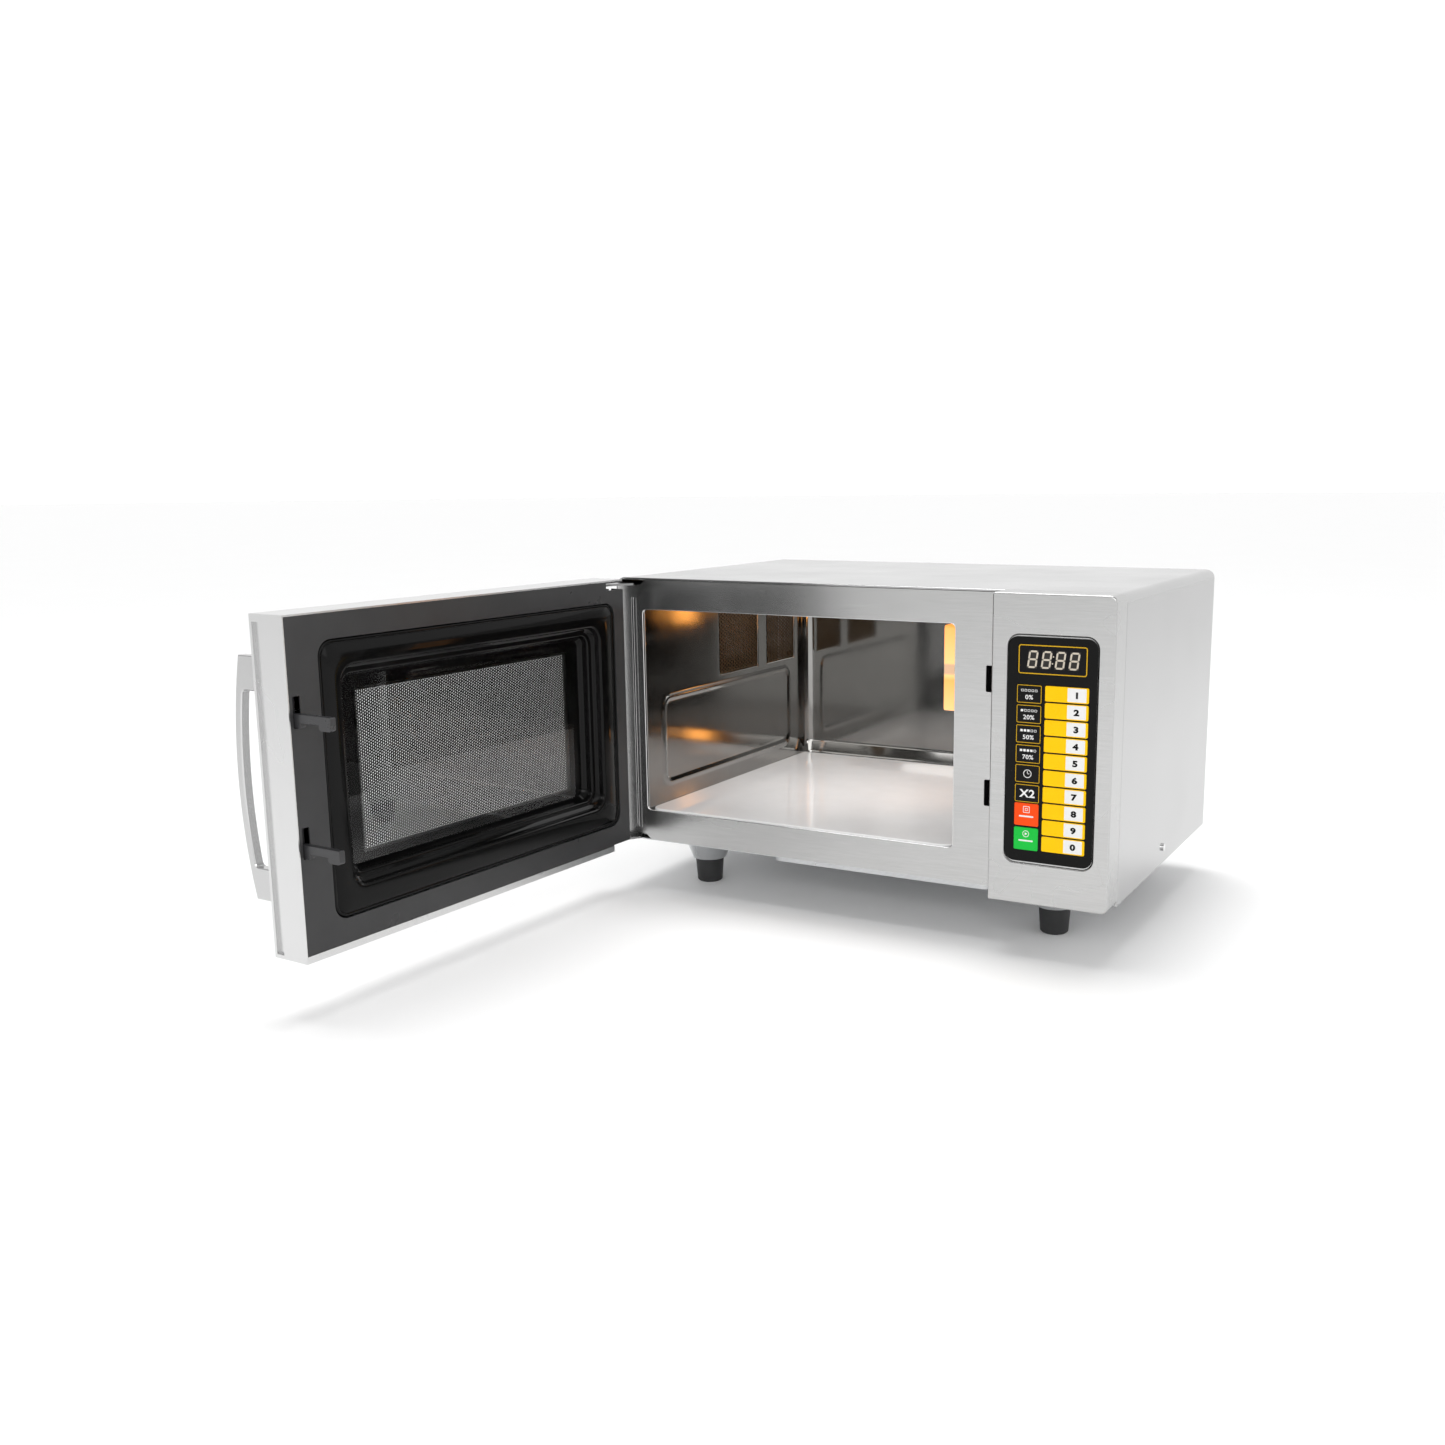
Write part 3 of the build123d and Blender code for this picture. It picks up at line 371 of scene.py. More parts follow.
choke_low, choke_high = door_box("choke_cover")
choke_box = (choke_low[0], choke_high[0], choke_low[1], choke_high[1])
choke_face = choke_high[2]
screen_box_low, screen_box_high = door_box("door_screen")
screen_back, screen_front = screen_box_low[2], screen_box_high[2]


def round_over(box, inset, radius, depth, size, quarter, steps=5):
    """Loops of a quarter-round edge. `quarter` is "convex" into a wall or "concave" out of one."""
    loops = []
    for i in range(steps + 1):
        angle = 90 * i / steps
        if quarter == "convex":
            inward, down = size * sin(radians(angle)), size * (1 - cos(radians(angle)))
        else:
            inward, down = size * (1 - cos(radians(angle))), size * sin(radians(angle))
        loops.append(inset_loop(box, inset + inward, max(radius - inward, 0.5 * MM), depth - down))
    return loops


def make_choke_cover():
    """Glossy moulding on the door's inner face: flat ring, two rounded steps and a window frame."""
    edge, rim, soft = 1.4 * MM, 13.0 * MM, 3.0 * MM
    first_step, second_step = 21.4 * MM, 29.5 * MM
    ledge_depth, frame_depth = 9.0 * MM, 19.4 * MM
    jamb, sill, head, sheet = 49.0 * MM, 40.5 * MM, 43.0 * MM, 0.9 * MM
    left, right, bottom, top = choke_box
    window = (left + jamb, right - jamb, bottom + sill, top - head)
    back = choke_face - 4.0 * MM
    loops = [inset_loop(choke_box, 0.0, rim, back)]
    for turn in (0, 18, 36, 54, 72, 90):
        inset, drop = edge * (1 - cos(radians(turn))), edge * (1 - sin(radians(turn)))
        loops.append(inset_loop(choke_box, inset, rim, choke_face - drop))
    # a shallow groove just inside the outer edge
    loops += [inset_loop(choke_box, inset * MM, rim - inset * MM, choke_face - drop * MM)
              for inset, drop in ((2.6, 0.0), (3.1, 0.35), (3.6, 0.0))]
    ledge, floor = choke_face - ledge_depth, choke_face - frame_depth
    for inset, radius, depth, size, quarter in (
            (first_step - soft, rim + 4 * MM, choke_face, soft, "convex"),
            (first_step + 0.6 * MM, rim + 1 * MM, ledge + soft, soft, "concave"),
            (second_step - 2 * MM, rim - 2 * MM, ledge, 2 * MM, "convex"),
            (second_step + 0.6 * MM, rim - 3 * MM, floor + soft, soft, "concave")):
        loops += round_over(choke_box, inset, radius, depth, size, quarter)
    loops += [inset_loop(window, 0.0, 2.0 * MM, floor - drop) for drop in (0.0, sheet)]
    # back of the moulding, from the window out to the rim
    loops += [inset_loop(choke_box, inset, radius, choke_face - depth) for inset, radius, depth in
              ((second_step + 4 * MM, rim - 6 * MM, frame_depth + sheet),
               (second_step - 1.5 * MM, rim, ledge_depth + 3.5 * MM),
               (first_step - 1.5 * MM, rim + 3 * MM, 4.0 * MM))]
    finish = "choke_gloss_black"
    piece = build("choke_moulding", *skin_loops(loops, closed=True), materials[finish], "door", finish)
    smooth_by_angle(piece, 50.0)
    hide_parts("choke_cover")


def make_screen():
    """The perforated screen: hexagonal cells, each with a six-sided hole, inside a plain border."""
    pitch, hole = 2.45 * MM, 0.86 * MM
    step = pitch * 0.88
    side, sill, head = 50.2 * MM, 42.0 * MM, 45.0 * MM
    left, right = choke_box[0] + side, choke_box[1] - side
    bottom, top = choke_box[2] + sill, choke_box[3] - head
    columns, rows = int((right - left) / step), int((top - bottom) / pitch)
    cell_radius = pitch / 3 ** 0.5
    stretch = step / (pitch * 0.866)
    hexagon = [(cos(radians(60 * k)), sin(radians(60 * k))) for k in range(6)]
    halves = ((0, columns // 2), (columns // 2, columns))
    for half, (first, last) in enumerate(halves):
        shapes = []
        for column in range(first, last):
            for row in range(rows):
                s = left + step * (column + 0.5)
                z = bottom + pitch * (row + 0.5 + 0.5 * (column % 2))
                outer = [(s + cell_radius * stretch * c, z + cell_radius * w) for c, w in hexagon]
                inner = [(s + hole * c, z + hole * w) for c, w in hexagon]
                levels = ((outer, screen_front), (inner, screen_front), (inner, screen_back),
                          (outer, screen_back))
                shapes.append(skin_loops([[on_door(u, v, d) for u, v in line] for line, d in levels]))
        name = f"perforated_screen_{'ab'[half]}"
        piece = build(name, *join(shapes), materials["screen_black"], "door", "screen_black")
        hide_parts("door_screen")
    border = 4.0 * MM
    limits = (left - border, left + columns * step + border, bottom - border,
              bottom + (rows + 0.5) * pitch + border)
    corner, overlap, proud = 2.0 * MM, 0.8 * MM, 0.05 * MM
    shape = ring(*limits, corner, border + overlap, screen_front + proud, screen_back, on_door)
    piece = build("screen_border", *shape, materials["screen_black"], "door", "screen_black")
    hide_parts("door_screen")


def make_screen_film():
    """Clear sheet snapped over the screen, which gives the window its reflections."""
    gap, thickness, inset, corner = 1.6 * MM, 0.5 * MM, 33.5 * MM, 8 * MM
    front = screen_front + gap
    left, right, bottom, top = choke_box
    outline = rounded_rectangle(left + inset, right - inset, bottom + inset, top - inset, corner, 6)
    shape = plate(outline, front, front + thickness, on_door)
    build("screen_film", *shape, clear_film, "door", "door_glass")


make_choke_cover()
make_screen()
make_screen_film()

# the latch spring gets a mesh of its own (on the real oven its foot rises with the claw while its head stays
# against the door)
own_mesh(nodes["latch_spring"])

# =============================================================== cavity

cavity_low, cavity_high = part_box("cavity_shell")
frame_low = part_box("front_frame")[0]
shelf_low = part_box("ceramic_shelf")[0]
lamp_low, lamp_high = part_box("lamp_cover")
SHEET = 0.8 * MM


def bead(u, v, box, radius, width, height):
    """Height of a pressed bead that follows a rounded rectangle."""
    left, right, bottom, top = box
    du = abs(u - (left + right) / 2) - (right - left) / 2 + radius
    dv = abs(v - (bottom + top) / 2) - (top - bottom) / 2 + radius
    distance = hypot(max(du, 0), max(dv, 0)) + min(max(du, dv), 0) - radius
    if abs(distance) > width / 2:
        return 0.0
    return height * (0.5 + 0.5 * cos(2 * pi * distance / width))


def make_cavity():
    """Liner of the oven: one sheet bent round left wall, rear wall and right wall, with a ceiling."""
    left, right = cavity_low.x + SHEET, cavity_high.x - SHEET
    front, rear = cavity_low.y, cavity_high.y - SHEET
    floor, ceiling = shelf_low.z, cavity_high.z - SHEET
    corner = 13.0 * MM
    side_length = rear - corner - front
    bend = corner * pi / 2
    rear_length = right - left - 2 * corner
    total = 2 * side_length + 2 * bend + rear_length

    def wall(u, v, lift):
        """Point on the bent sheet at `u` along it and `v` up, raised into the room by `lift`."""
        if u < side_length:
            return Vector((left + lift, front + u, v))
        u -= side_length
        if u < bend:
            angle = pi - u / corner
            reach = corner - lift
            return Vector((left + corner + reach * cos(angle), rear - corner + reach * sin(angle), v))
        u -= bend
        if u < rear_length:
            return Vector((left + corner + u, rear - lift, v))
        u -= rear_length
        if u < bend:
            angle = pi / 2 - u / corner
            reach = corner - lift
            return Vector((right - corner + reach * cos(angle), rear - corner + reach * sin(angle), v))
        u -= bend
        return Vector((right - lift, rear - corner - u, v))

    # boxes on the flat sheet: along it from the front of the left wall, and up
    press_near, press_far, press_low, press_high = 30 * MM, 294 * MM, 102 * MM, 190 * MM
    press_corner, press_width, press_height = 12 * MM, 7 * MM, 1.6 * MM
    presses = ((press_near, press_far, press_low, press_high),
               (total - press_far, total - press_near, press_low, press_high))
    vents = [(140 * MM, 222 * MM, 201 * MM, 271 * MM), (243 * MM, 307 * MM, 201 * MM, 271 * MM)]
    foot_top, foot_height, foot_reach = 97 * MM, 14 * MM, 6 * MM

    def lift(u, v):
        """How far the sheet stands into the room at a point."""
        pressed = sum(bead(u, v, box, press_corner, press_width, press_height) for box in presses)
        # the sheet turns in as a small chamfer along the foot of the rear wall
        foot = 0.0
        if side_length + bend * 0.5 < u < total - side_length - bend * 0.5:
            foot = max(0.0, min(1.0, (foot_top - v) / foot_height)) * foot_reach
        return pressed + foot

    def spread(limits, size):
        """Rising positions that hit every limit, no further apart than `size`."""
        marks = []
        for low, high in zip(limits, limits[1:]):
            steps = max(1, int((high - low) / size + 0.999))
            marks += [low + (high - low) * i / steps for i in range(steps)]
        return marks + [limits[-1]]

    mesh_size = 2.0 * MM
    u_marks = spread([0, *[m for v in vents for m in v[:2]], side_length, side_length + bend,
                      total - side_length - bend, total - side_length, total], mesh_size)
    v_marks = spread([floor, foot_top - foot_height, foot_top, vents[0][2], vents[0][3], ceiling], mesh_size)
    grid = {}
    points, faces = [], []

    def spot(i, j):
        if (i, j) not in grid:
            grid[i, j] = len(points)
            points.append(wall(u_marks[i], v_marks[j], lift(u_marks[i], v_marks[j])))
        return grid[i, j]

    for i in range(len(u_marks) - 1):
        for j in range(len(v_marks) - 1):
            u, v = (u_marks[i] + u_marks[i + 1]) / 2, (v_marks[j] + v_marks[j + 1]) / 2
            if any(a < u < b and c < v < d for a, b, c, d in vents):
                continue
            faces.append((spot(i, j), spot(i + 1, j), spot(i + 1, j + 1), spot(i, j + 1)))
    piece = build("cavity_liner", points, faces, materials["cavity_steel"], "cabinet", "cavity_steel")
    smooth_by_angle(piece, 35.0)
    thick = piece.modifiers.new("sheet", "SOLIDIFY")
    thick.thickness, thick.offset = SHEET * 0.9, -1.0
    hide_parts("cavity_shell")

    # perforated vents in the left wall
    pitch, hole = 4.1 * MM, 1.55 * MM
    circle = [(cos(radians(a)), sin(radians(a))) for a in range(0, 360, 30)]
    for number, (u0, u1, v0, v1) in enumerate(vents):
        columns, rows = round((u1 - u0) / (pitch * 0.866)), round((v1 - v0) / pitch - 0.5)
        wide, high = (u1 - u0) / (columns + 1 / 3), (v1 - v0) / (rows + 0.5)
        shapes = []
        for column in range(columns):
            for row in range(rows):
                u = u0 + wide * (column + 0.667)
                v = v0 + high * (row + 0.5 + 0.5 * (column % 2))
                outer = [(u + wide * 0.6667 * c, v + high * 0.5774 * w) for c, w in circle]
                inner = [(u + hole * c, v + hole * w) for c, w in circle]
                outer = [(min(u1, max(u0, a)), min(v1, max(v0, b))) for a, b in outer]
                loops = [[Vector((left - d, front + a, b)) for a, b in line] for line, d in
                         ((outer, 0), (inner, 0), (inner, SHEET), (outer, SHEET))]
                shapes.append(skin_loops(loops))
        shapes.append(ring_on_wall(u0, u1, v0, v1, left, front))
        piece = build(f"cavity_vent_{number + 1}", *join(shapes), vent_steel, "cabinet", "cavity_steel")
        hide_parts("cavity_shell")

    # ceiling sheet
    outline = [(left, front), (right, front), (right, rear - corner)]
    outline += [(right - corner + corner * cos(radians(a)), rear - corner + corner * sin(radians(a)))
                for a in range(15, 90, 15)]
    outline += [(left + corner + corner * cos(radians(a)), rear - corner + corner * sin(radians(a)))
                for a in range(90, 181, 15)]
    shape = plate(outline, ceiling, ceiling + SHEET, lambda x, y, z: Vector((x, y, z)))
    piece = build("cavity_ceiling", *shape, materials["cavity_steel"], "cabinet", "cavity_steel")
    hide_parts("cavity_shell")


def ring_on_wall(u0, u1, v0, v1, left, front):
    """Narrow border that closes the edge of a vent."""
    width = 1.2 * MM
    return ring(u0, u1, v0, v1, 0.4 * MM, width, 0.0, SHEET,
                lambda u, v, d: Vector((left - d, front + u, v)))


make_cavity()

# =============================================================== front frame trim

# left, right, bottom and top of the opening in front_frame
MOUTH = (-225.7 * MM, 105.5 * MM, 80.2 * MM, 284.0 * MM)


def make_mouth_lip():
    """Rolled edge round the oven's mouth, in steel painted lighter than the frame as a painted highlight."""
    left, right, bottom, top = MOUTH
    radius = 1.0 * MM
    loops = []
    for i in range(8):
        angle = radians(180 * i / 7)
        inset = 0.2 * MM - radius * cos(angle) * 0.5
        line = rounded_rectangle(left + inset, right - inset, bottom + inset, top - inset, 5 * MM, 6)
        loops.append([Vector((x, frame_low.y + 0.9 * MM - 0.85 * MM * sin(angle), z)) for x, z in line])
    piece = build("mouth_lip", *skin_loops(loops, closed=True), painted_highlight_lip_steel, "cabinet", "frame_steel")
    smooth_by_angle(piece, 60.0)


def make_cover_bead():
    """Rolled bead along the cover's front edge, up one side, over the top and down the other."""
    low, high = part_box("outer_cover")
    radius, corner, sides = 1.3 * MM, 9.0 * MM, 12
    center_y = low.y + 1.6 * MM
    foot = low.z + 1 * MM
    # the bead's centre line, with the angle that points out of the cover at each spot
    path = [(low.x, foot, pi)]
    for center_x, angles in ((low.x + corner, range(180, 89, -9)), (high.x - corner, range(90, -1, -9))):
        path += [(center_x + corner * cos(radians(a)), high.z - corner + corner * sin(radians(a)), radians(a))
                 for a in angles]
    path.append((high.x, foot, 0.0))
    loops = []
    for x, z, out in path:
        loop = []
        for i in range(sides):
            angle = 2 * pi * i / sides
            lift = radius * cos(angle) - 0.7 * radius
            loop.append(Vector((x + lift * cos(out), center_y + radius * sin(angle), z + lift * sin(out))))
        loops.append(loop)
    points, faces = skin_loops(loops)
    last = sides * (len(loops) - 1)
    faces += [tuple(range(sides)), tuple(range(last, last + sides))]
    piece = build("cover_bead", points, faces, materials["cover_steel"], "cabinet", "cover_steel")
    smooth_by_angle(piece, 60.0)


def make_margin_beads():
    """Two pressed ribs up the front frame's left margin, between the hinges, in steel painted darker as a
    painted reflection of the dark door.
    """
    face_y = frame_low.y + 0.02 * MM
    for name, center, half in (("wide", -236.8 * MM, 1.5 * MM), ("narrow", -232.7 * MM, 0.6 * MM)):
        loops = []
        for z, swell in ((62 * MM, 0.1), (64 * MM, 1.0), (293 * MM, 1.0), (295 * MM, 0.1)):
            rise = half * 0.6 * swell
            loops.append([Vector((center + half * cos(radians(a)), face_y - rise * sin(radians(a)), z))
                          for a in range(0, 181, 15)])
        points, faces = skin_loops(loops)
        count = len(loops[0])
        faces += [tuple(range(count)), tuple(range(3 * count, 4 * count))]
        piece = build(f"margin_rib_{name}", points, faces, painted_dark_rib_steel, "cabinet", "frame_steel")
        smooth_by_angle(piece, 50.0)


make_mouth_lip()
make_cover_bead()
make_margin_beads()

# =============================================================== keypad and display

PRINT = 0.06 * MM   # thickness of the ink


def label_text(text, size, center_x, center_z, face_y, material, name, body, bold=0.0, width=1.0):
    """Printed characters as a thin closed mesh, centred on a point of an upright face."""
    curve = bpy.data.curves.new(name, "FONT")
    curve.body = text
    curve.size = size
    curve.align_x, curve.align_y = "CENTER", "CENTER"
    curve.offset = bold
    curve.extrude = PRINT / 2
    curve.resolution_u = 4
    curve.space_character = 1.05
    holder = bpy.data.objects.new(name + "_curve", curve)
    bpy.context.scene.collection.objects.link(holder)
    bpy.context.view_layer.update()
    mesh = bpy.data.meshes.new_from_object(holder.evaluated_get(bpy.context.evaluated_depsgraph_get()))
    bpy.data.objects.remove(holder)
    xs, ys = [v.co.x for v in mesh.vertices], [v.co.y for v in mesh.vertices]
    middle = Vector(((min(xs) + max(xs)) / 2, (min(ys) + max(ys)) / 2, 0))
    turn = Matrix.Translation((center_x, face_y - PRINT / 2, center_z)) @ Matrix.Rotation(pi / 2, 4, "X")
    mesh.transform(turn @ Matrix.Diagonal((width, 1, 1, 1)) @ Matrix.Translation(-middle))
    mesh.materials.clear()
    mesh.materials.append(material)
    mesh.name = name
    piece = bpy.data.objects.new(name, mesh)
    bpy.context.scene.collection.objects.link(piece)
    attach(piece, body)
    return piece


def printed(name, shapes, material, body, slot):
    return build(name, *join(shapes), material, body, slot)


def print_place(face_y):
    """Placing function for printed shapes: depth 0 is the outside of the ink."""
    return lambda x, z, d: Vector((x, face_y - PRINT + d, z))


def printed_ring(center_x, center_z, half, corner, width, place, steps=6):
    """Square ring of ink round a point, or a round one where the corner is as large as the half width."""
    return ring(center_x - half, center_x + half, center_z - half, center_z + half, corner, width, 0, PRINT,
                place, steps)


def label_digit(node, body, digit):
    """White panel on a yellow key, with the digit on it."""
    low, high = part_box(node)
    panel = (low.x + 19.2 * MM, high.x - 2.0 * MM, low.z + 0.9 * MM, high.z - 0.7 * MM)
    outline = rounded_rectangle(*panel, 0.5 * MM, 3)
    printed(f"{node}_panel", [plate(outline, 0, PRINT, print_place(low.y))], print_panel, body, "key_yellow")
    label_text(digit, 6.9 * MM, (panel[0] + panel[1]) / 2, (low.z + high.z) / 2, low.y - PRINT, print_black,
               f"{node}_digit", body, bold=0.36 * MM, width=1.3)


def label_stop_or_start(node, body, sign, x, z, place):
    """A square or a triangle in a frame, over a short bar."""
    half, line, up = 2.9 * MM, 0.5 * MM, z + 4.4 * MM
    if sign == "stop":
        shapes = [printed_ring(x, up, half, 0.6 * MM, line, place),
                  printed_ring(x, up, 1.2 * MM, 0.3 * MM, 0.45 * MM, place)]
    else:
        arrow_back, arrow_tip, arrow_half = 0.9 * MM, 1.5 * MM, 1.3 * MM
        arrow = [(x - arrow_back, up - arrow_half), (x + arrow_tip, up), (x - arrow_back, up + arrow_half)]
        shapes = [printed_ring(x, up, half, half * 0.999, line, place, 8), plate(arrow, 0, PRINT, place)]
    bar_half, bar_low, bar_high = 6.4 * MM, 2.3 * MM, 0.9 * MM
    bar = rounded_rectangle(x - bar_half, x + bar_half, z - bar_low, z - bar_high, 0.6 * MM, 4)
    shapes.append(plate(bar, 0, PRINT, place))
    color = {"stop": "red", "start": "green"}[sign]
    printed(f"{node}_sign", shapes, print_white, body, f"key_{color}")


def label_clock(node, body, x, z, place):
    """A small clock: a circle and its two hands."""
    dial, thick, tail = 3.6 * MM, 0.5 * MM, 0.25 * MM
    shapes = [printed_ring(x, z, dial, dial * 0.999, 0.6 * MM, place, 10)]
    for reach, turned in ((2.3 * MM, 90), (1.7 * MM, 0)):
        c, w = cos(radians(turned)), sin(radians(turned))
        corners = [(-tail, -thick / 2), (reach, -thick / 2), (reach, thick / 2), (-tail, thick / 2)]
        hand = [(x + a * c - b * w, z + a * w + b * c) for a, b in corners]
        shapes.append(plate(hand, 0, PRINT, place))
    printed(f"{node}_sign", shapes, print_white, body, "key_black")


def label_level(node, body, level, x, z, y, place):
    """A power level: its percentage under a row of five marks, the lit ones full."""
    label_text(f"{level}%", 5.2 * MM, x, z - 2.6 * MM, y, print_white, f"{node}_number", body,
               bold=0.08 * MM, width=1.1)
    marks, pitch, width, gap = 5, 3.0 * MM, 2.2 * MM, 0.4 * MM
    shapes = []
    for i in range(marks):
        left = x + (i - marks / 2) * pitch + gap
        box = (left, left + width, z + 2.0 * MM, z + 4.0 * MM)
        if level >= 20 * i + 10:
            shapes.append(plate(rounded_rectangle(*box, 0.4 * MM, 3), 0, PRINT, place))
        else:
            shapes.append(ring(*box, 0.4 * MM, 0.35 * MM, 0, PRINT, place, 3))
    printed(f"{node}_level", shapes, print_white, body, "key_black")


def label_key(node, body):
    """Print a key's frame, panel or sign."""
    low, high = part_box(node)
    place = print_place(low.y)
    middle_x, middle_z = (low.x + high.x) / 2, (low.z + high.z) / 2
    sign = node.removeprefix("key_")
    if sign.isdigit():
        label_digit(node, body, sign)
        return
    if sign in ("stop", "start"):
        label_stop_or_start(node, body, sign, middle_x, middle_z, place)
        return
    edge = 0.2 * MM
    outline = ring(low.x + edge, high.x - edge, low.z + edge, high.z - edge, 1.2 * MM, 0.55 * MM, 0, PRINT,
                   place)
    printed(f"{node}_frame", [outline], print_amber, body, "key_black")
    if sign == "double":
        label_text("X2", 9.4 * MM, middle_x, middle_z, low.y, print_white, f"{node}_sign", body,
                   bold=0.22 * MM, width=1.15)
    elif sign == "time":
        label_clock(node, body, middle_x, middle_z, place)
    else:
        label_level(node, body, int(sign.split("_")[1]), middle_x, middle_z, low.y, place)


for body in frame["bodies"]:
    if body.startswith("key_"):
        label_key(body.removesuffix("_cap"), body)


def segment_digit(left, bottom, width, height, slant, thick):
    """Outlines of the seven bars of one slanted digit."""
    gap = 0.22 * MM
    half = height / 2
    cut = thick / 2

    def bar(u0, v0, u1, v1):
        """Six-sided bar between two points, pointed at both ends."""
        length = hypot(u1 - u0, v1 - v0)
        c, w = (u1 - u0) / length, (v1 - v0) / length
        shape = [(gap, 0), (gap + cut, -cut), (length - gap - cut, -cut), (length - gap, 0),
                 (length - gap - cut, cut), (gap + cut, cut)]
        return [(u0 + a * c - b * w, v0 + a * w + b * c) for a, b in shape]

    bars = [bar(0, 0, width, 0), bar(0, half, width, half), bar(0, height, width, height),
            bar(0, 0, 0, half), bar(0, half, 0, height), bar(width, 0, width, half),
            bar(width, half, width, height)]
    return [[(left + u + slant * v, bottom + v) for u, v in outline] for outline in bars]


def make_display():
    """Amber outline and a four-digit display with a colon."""
    low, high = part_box("display_module")
    place = print_place(low.y)
    edge = 0.4 * MM
    outline = ring(low.x + edge, high.x - edge, low.z + edge, high.z - edge, 2.2 * MM, 0.85 * MM, 0, PRINT,
                   place)
    printed("display_outline", [outline], print_amber, "cabinet", "display_black")
    digit_width, digit_height, slant, thick = 6.6 * MM, 13.2 * MM, 0.13, 1.5 * MM
    bottom = (low.z + high.z) / 2 - digit_height / 2 + 0.1 * MM
    first, pitch, margin = low.x + 8.6 * MM, 11.85 * MM, 1.1 * MM
    cells, bars = [], []
    for i in range(4):
        left = first + i * pitch
        cell = [(left - margin, bottom - margin), (left + digit_width + margin, bottom - margin),
                (left + digit_width + margin + slant * digit_height, bottom + digit_height + margin),
                (left - margin + slant * digit_height, bottom + digit_height + margin)]
        cells.append(plate(cell, PRINT / 2, PRINT, place))
        bars += [plate(outline, 0, PRINT, place) for outline in
                 segment_digit(left, bottom, digit_width, digit_height, slant, thick)]
    # the colon, between the second digit and the third
    dot_radius = 0.6 * MM
    for height in (0.28, 0.72):
        x = first + 1.5 * pitch + digit_width / 2 - 0.5 * MM + slant * digit_height * height
        z = bottom + digit_height * height
        dot = [(x + dot_radius * cos(radians(a)), z + dot_radius * sin(radians(a)))
               for a in range(0, 360, 30)]
        bars.append(plate(dot, 0, PRINT, place))
    printed("display_cells", cells, segment_cell, "cabinet", "display_black")
    printed("display_segments", bars, segment_cream, "cabinet", "display_black")


make_display()

# =============================================================== stage, light and camera


def make_sun():
    """Broad soft light from above, which keeps the whole table top white."""
    data = bpy.data.lights.new("soft_sun", "SUN")
    data.energy, data.angle = 1.25, radians(30)
    sun = bpy.data.objects.new("soft_sun", data)
    sun.rotation_euler = Vector((0.22, -0.12, -1.0)).to_track_quat("-Z", "Y").to_euler()
    bpy.context.scene.collection.objects.link(sun)


def make_floor():
    """Wide white table top."""
    reach, rings, sides = 30.0, 6, 36
    points = [Vector((0, 0, 0))]
    for i in range(rings):
        size = reach * ((i + 1) / rings) ** 2
        points += [Vector((size * cos(radians(a)), size * sin(radians(a)), 0)) for a in range(0, 360, 10)]
    faces = [(0, 1 + i, 1 + (i + 1) % sides) for i in range(sides)]
    for r in range(rings - 1):
        near, far = 1 + sides * r, 1 + sides * (r + 1)
        faces += [(near + i, far + i, far + (i + 1) % sides, near + (i + 1) % sides) for i in range(sides)]
    shader = Shader("floor_white", (0.95, 0.95, 0.95), 0.7)
    shader.vary_color(shader.noise((1, 1, 1), 3.0), 0.005)
    mesh = bpy.data.meshes.new("floor")
    mesh.from_pydata([tuple(p) for p in points], [], faces)
    mesh.materials.append(shader.material)
    floor = bpy.data.objects.new("floor", mesh)
    bpy.context.scene.collection.objects.link(floor)


def area_light(name, place, target, size, power, color=(1.0, 1.0, 1.0)):
    """A rectangular lamp that faces a target."""
    data = bpy.data.lights.new(name, "AREA")
    data.shape = "RECTANGLE"
    data.size, data.size_y = size
    data.energy, data.color = power, color
    lamp = bpy.data.objects.new(name, data)
    lamp.location = place
    lamp.rotation_euler = (Vector(target) - Vector(place)).to_track_quat("-Z", "Y").to_euler()
    bpy.context.scene.collection.objects.link(lamp)


make_floor()
make_sun()
area_light("key_light", (0.1, 0.3, 2.4), (0, -0.1, 0.1), (1.2, 1.0), 12.0)
area_light("front_light", (0.5, -2.2, 1.1), (-0.06, 0, 0.13), (1.4, 0.8), 12.0)
area_light("right_light", (2.3, -0.2, 1.2), (0.1, 0, 0.15), (0.8, 1.6), 4.0)

# the glow inside the oven: white from its ceiling, amber from beside the lamp cover
room_middle = ((cavity_low.x + cavity_high.x) / 2, (cavity_low.y + cavity_high.y) / 2)
area_light("ceiling_light", (*room_middle, cavity_high.z - 6 * MM), (*room_middle, 0), (0.26, 0.22), 0.50)
area_light("oven_lamp", (lamp_low.x - 10 * MM, lamp_high.y + 80 * MM, lamp_high.z - 50 * MM),
           (room_middle[0], cavity_high.y, lamp_low.z), (0.03, 0.05), 0.09, (1.0, 0.40, 0.08))


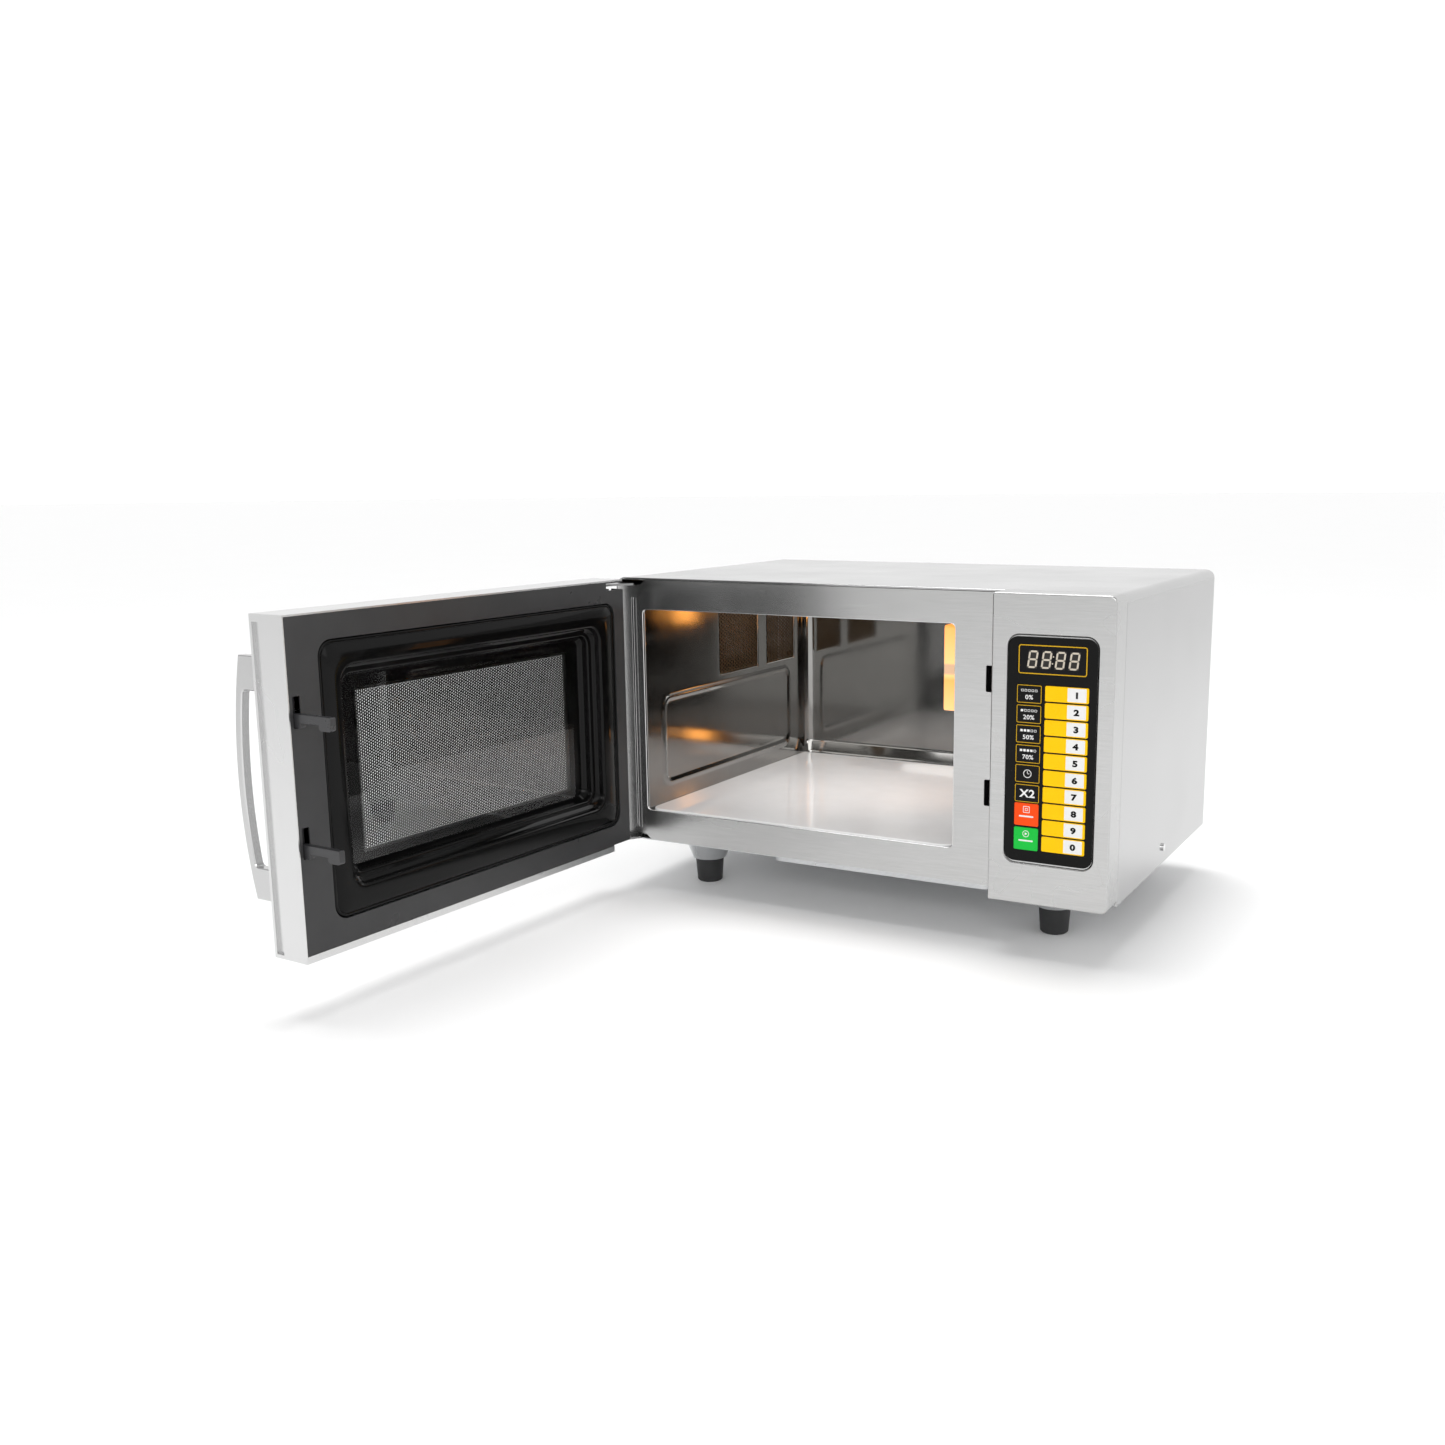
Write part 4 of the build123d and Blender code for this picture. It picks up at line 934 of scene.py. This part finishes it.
def make_sky():
    """White surroundings: bright low down behind the oven, dimmer overhead and behind the viewer."""
    world = bpy.data.worlds.new("studio")
    world.use_nodes = True
    sky = world.node_tree
    direction = sky.nodes.new("ShaderNodeTexCoord")
    axes = sky.nodes.new("ShaderNodeSeparateXYZ")
    sky.links.new(direction.outputs["Generated"], axes.inputs["Vector"])

    def shade(axis, low, high, low_shade, high_shade):
        """Grey that changes with one component of the direction into the sky."""
        ramp = sky.nodes.new("ShaderNodeMapRange")
        ramp.inputs["From Min"].default_value, ramp.inputs["From Max"].default_value = low, high
        ramp.inputs["To Min"].default_value, ramp.inputs["To Max"].default_value = low_shade, high_shade
        sky.links.new(axes.outputs[axis], ramp.inputs["Value"])
        return ramp.outputs["Result"]

    both = sky.nodes.new("ShaderNodeMath")
    both.operation = "MULTIPLY"
    sky.links.new(shade("Z", 0.3, 0.9, 1.05, 0.5), both.inputs[0])
    sky.links.new(shade("Y", -0.9, 0.3, 0.72, 1.0), both.inputs[1])
    sky.links.new(both.outputs["Value"], sky.nodes["Background"].inputs["Strength"])
    sky.nodes["Background"].inputs["Color"].default_value = (1.0, 1.0, 1.0, 1.0)
    bpy.context.scene.world = world
    bpy.context.scene.view_settings.view_transform = "Standard"


def make_camera():
    """Camera a little right of the front and above, looking down at the open oven."""
    place = (0.5651, -1.3031, 0.4104)
    data = bpy.data.cameras.new("camera")
    data.sensor_width = 36.0
    data.lens = 34.864
    data.shift_x, data.shift_y = -0.0461, 0.0122
    camera = bpy.data.objects.new("camera", data)
    azimuth, elevation, roll = radians(28.834), radians(10.6555), radians(-0.48)
    back = Vector((sin(azimuth) * cos(elevation), -cos(azimuth) * cos(elevation), sin(elevation)))
    right = Vector((0, 0, 1)).cross(back).normalized()
    up = back.cross(right)
    rolled_right = right * cos(roll) + up * sin(roll)
    rolled_up = up * cos(roll) - right * sin(roll)
    turn = Matrix((rolled_right, rolled_up, back)).transposed().to_4x4()
    camera.matrix_world = Matrix.Translation(place) @ turn
    bpy.context.scene.collection.objects.link(camera)
    bpy.context.scene.camera = camera


make_sky()
make_camera()
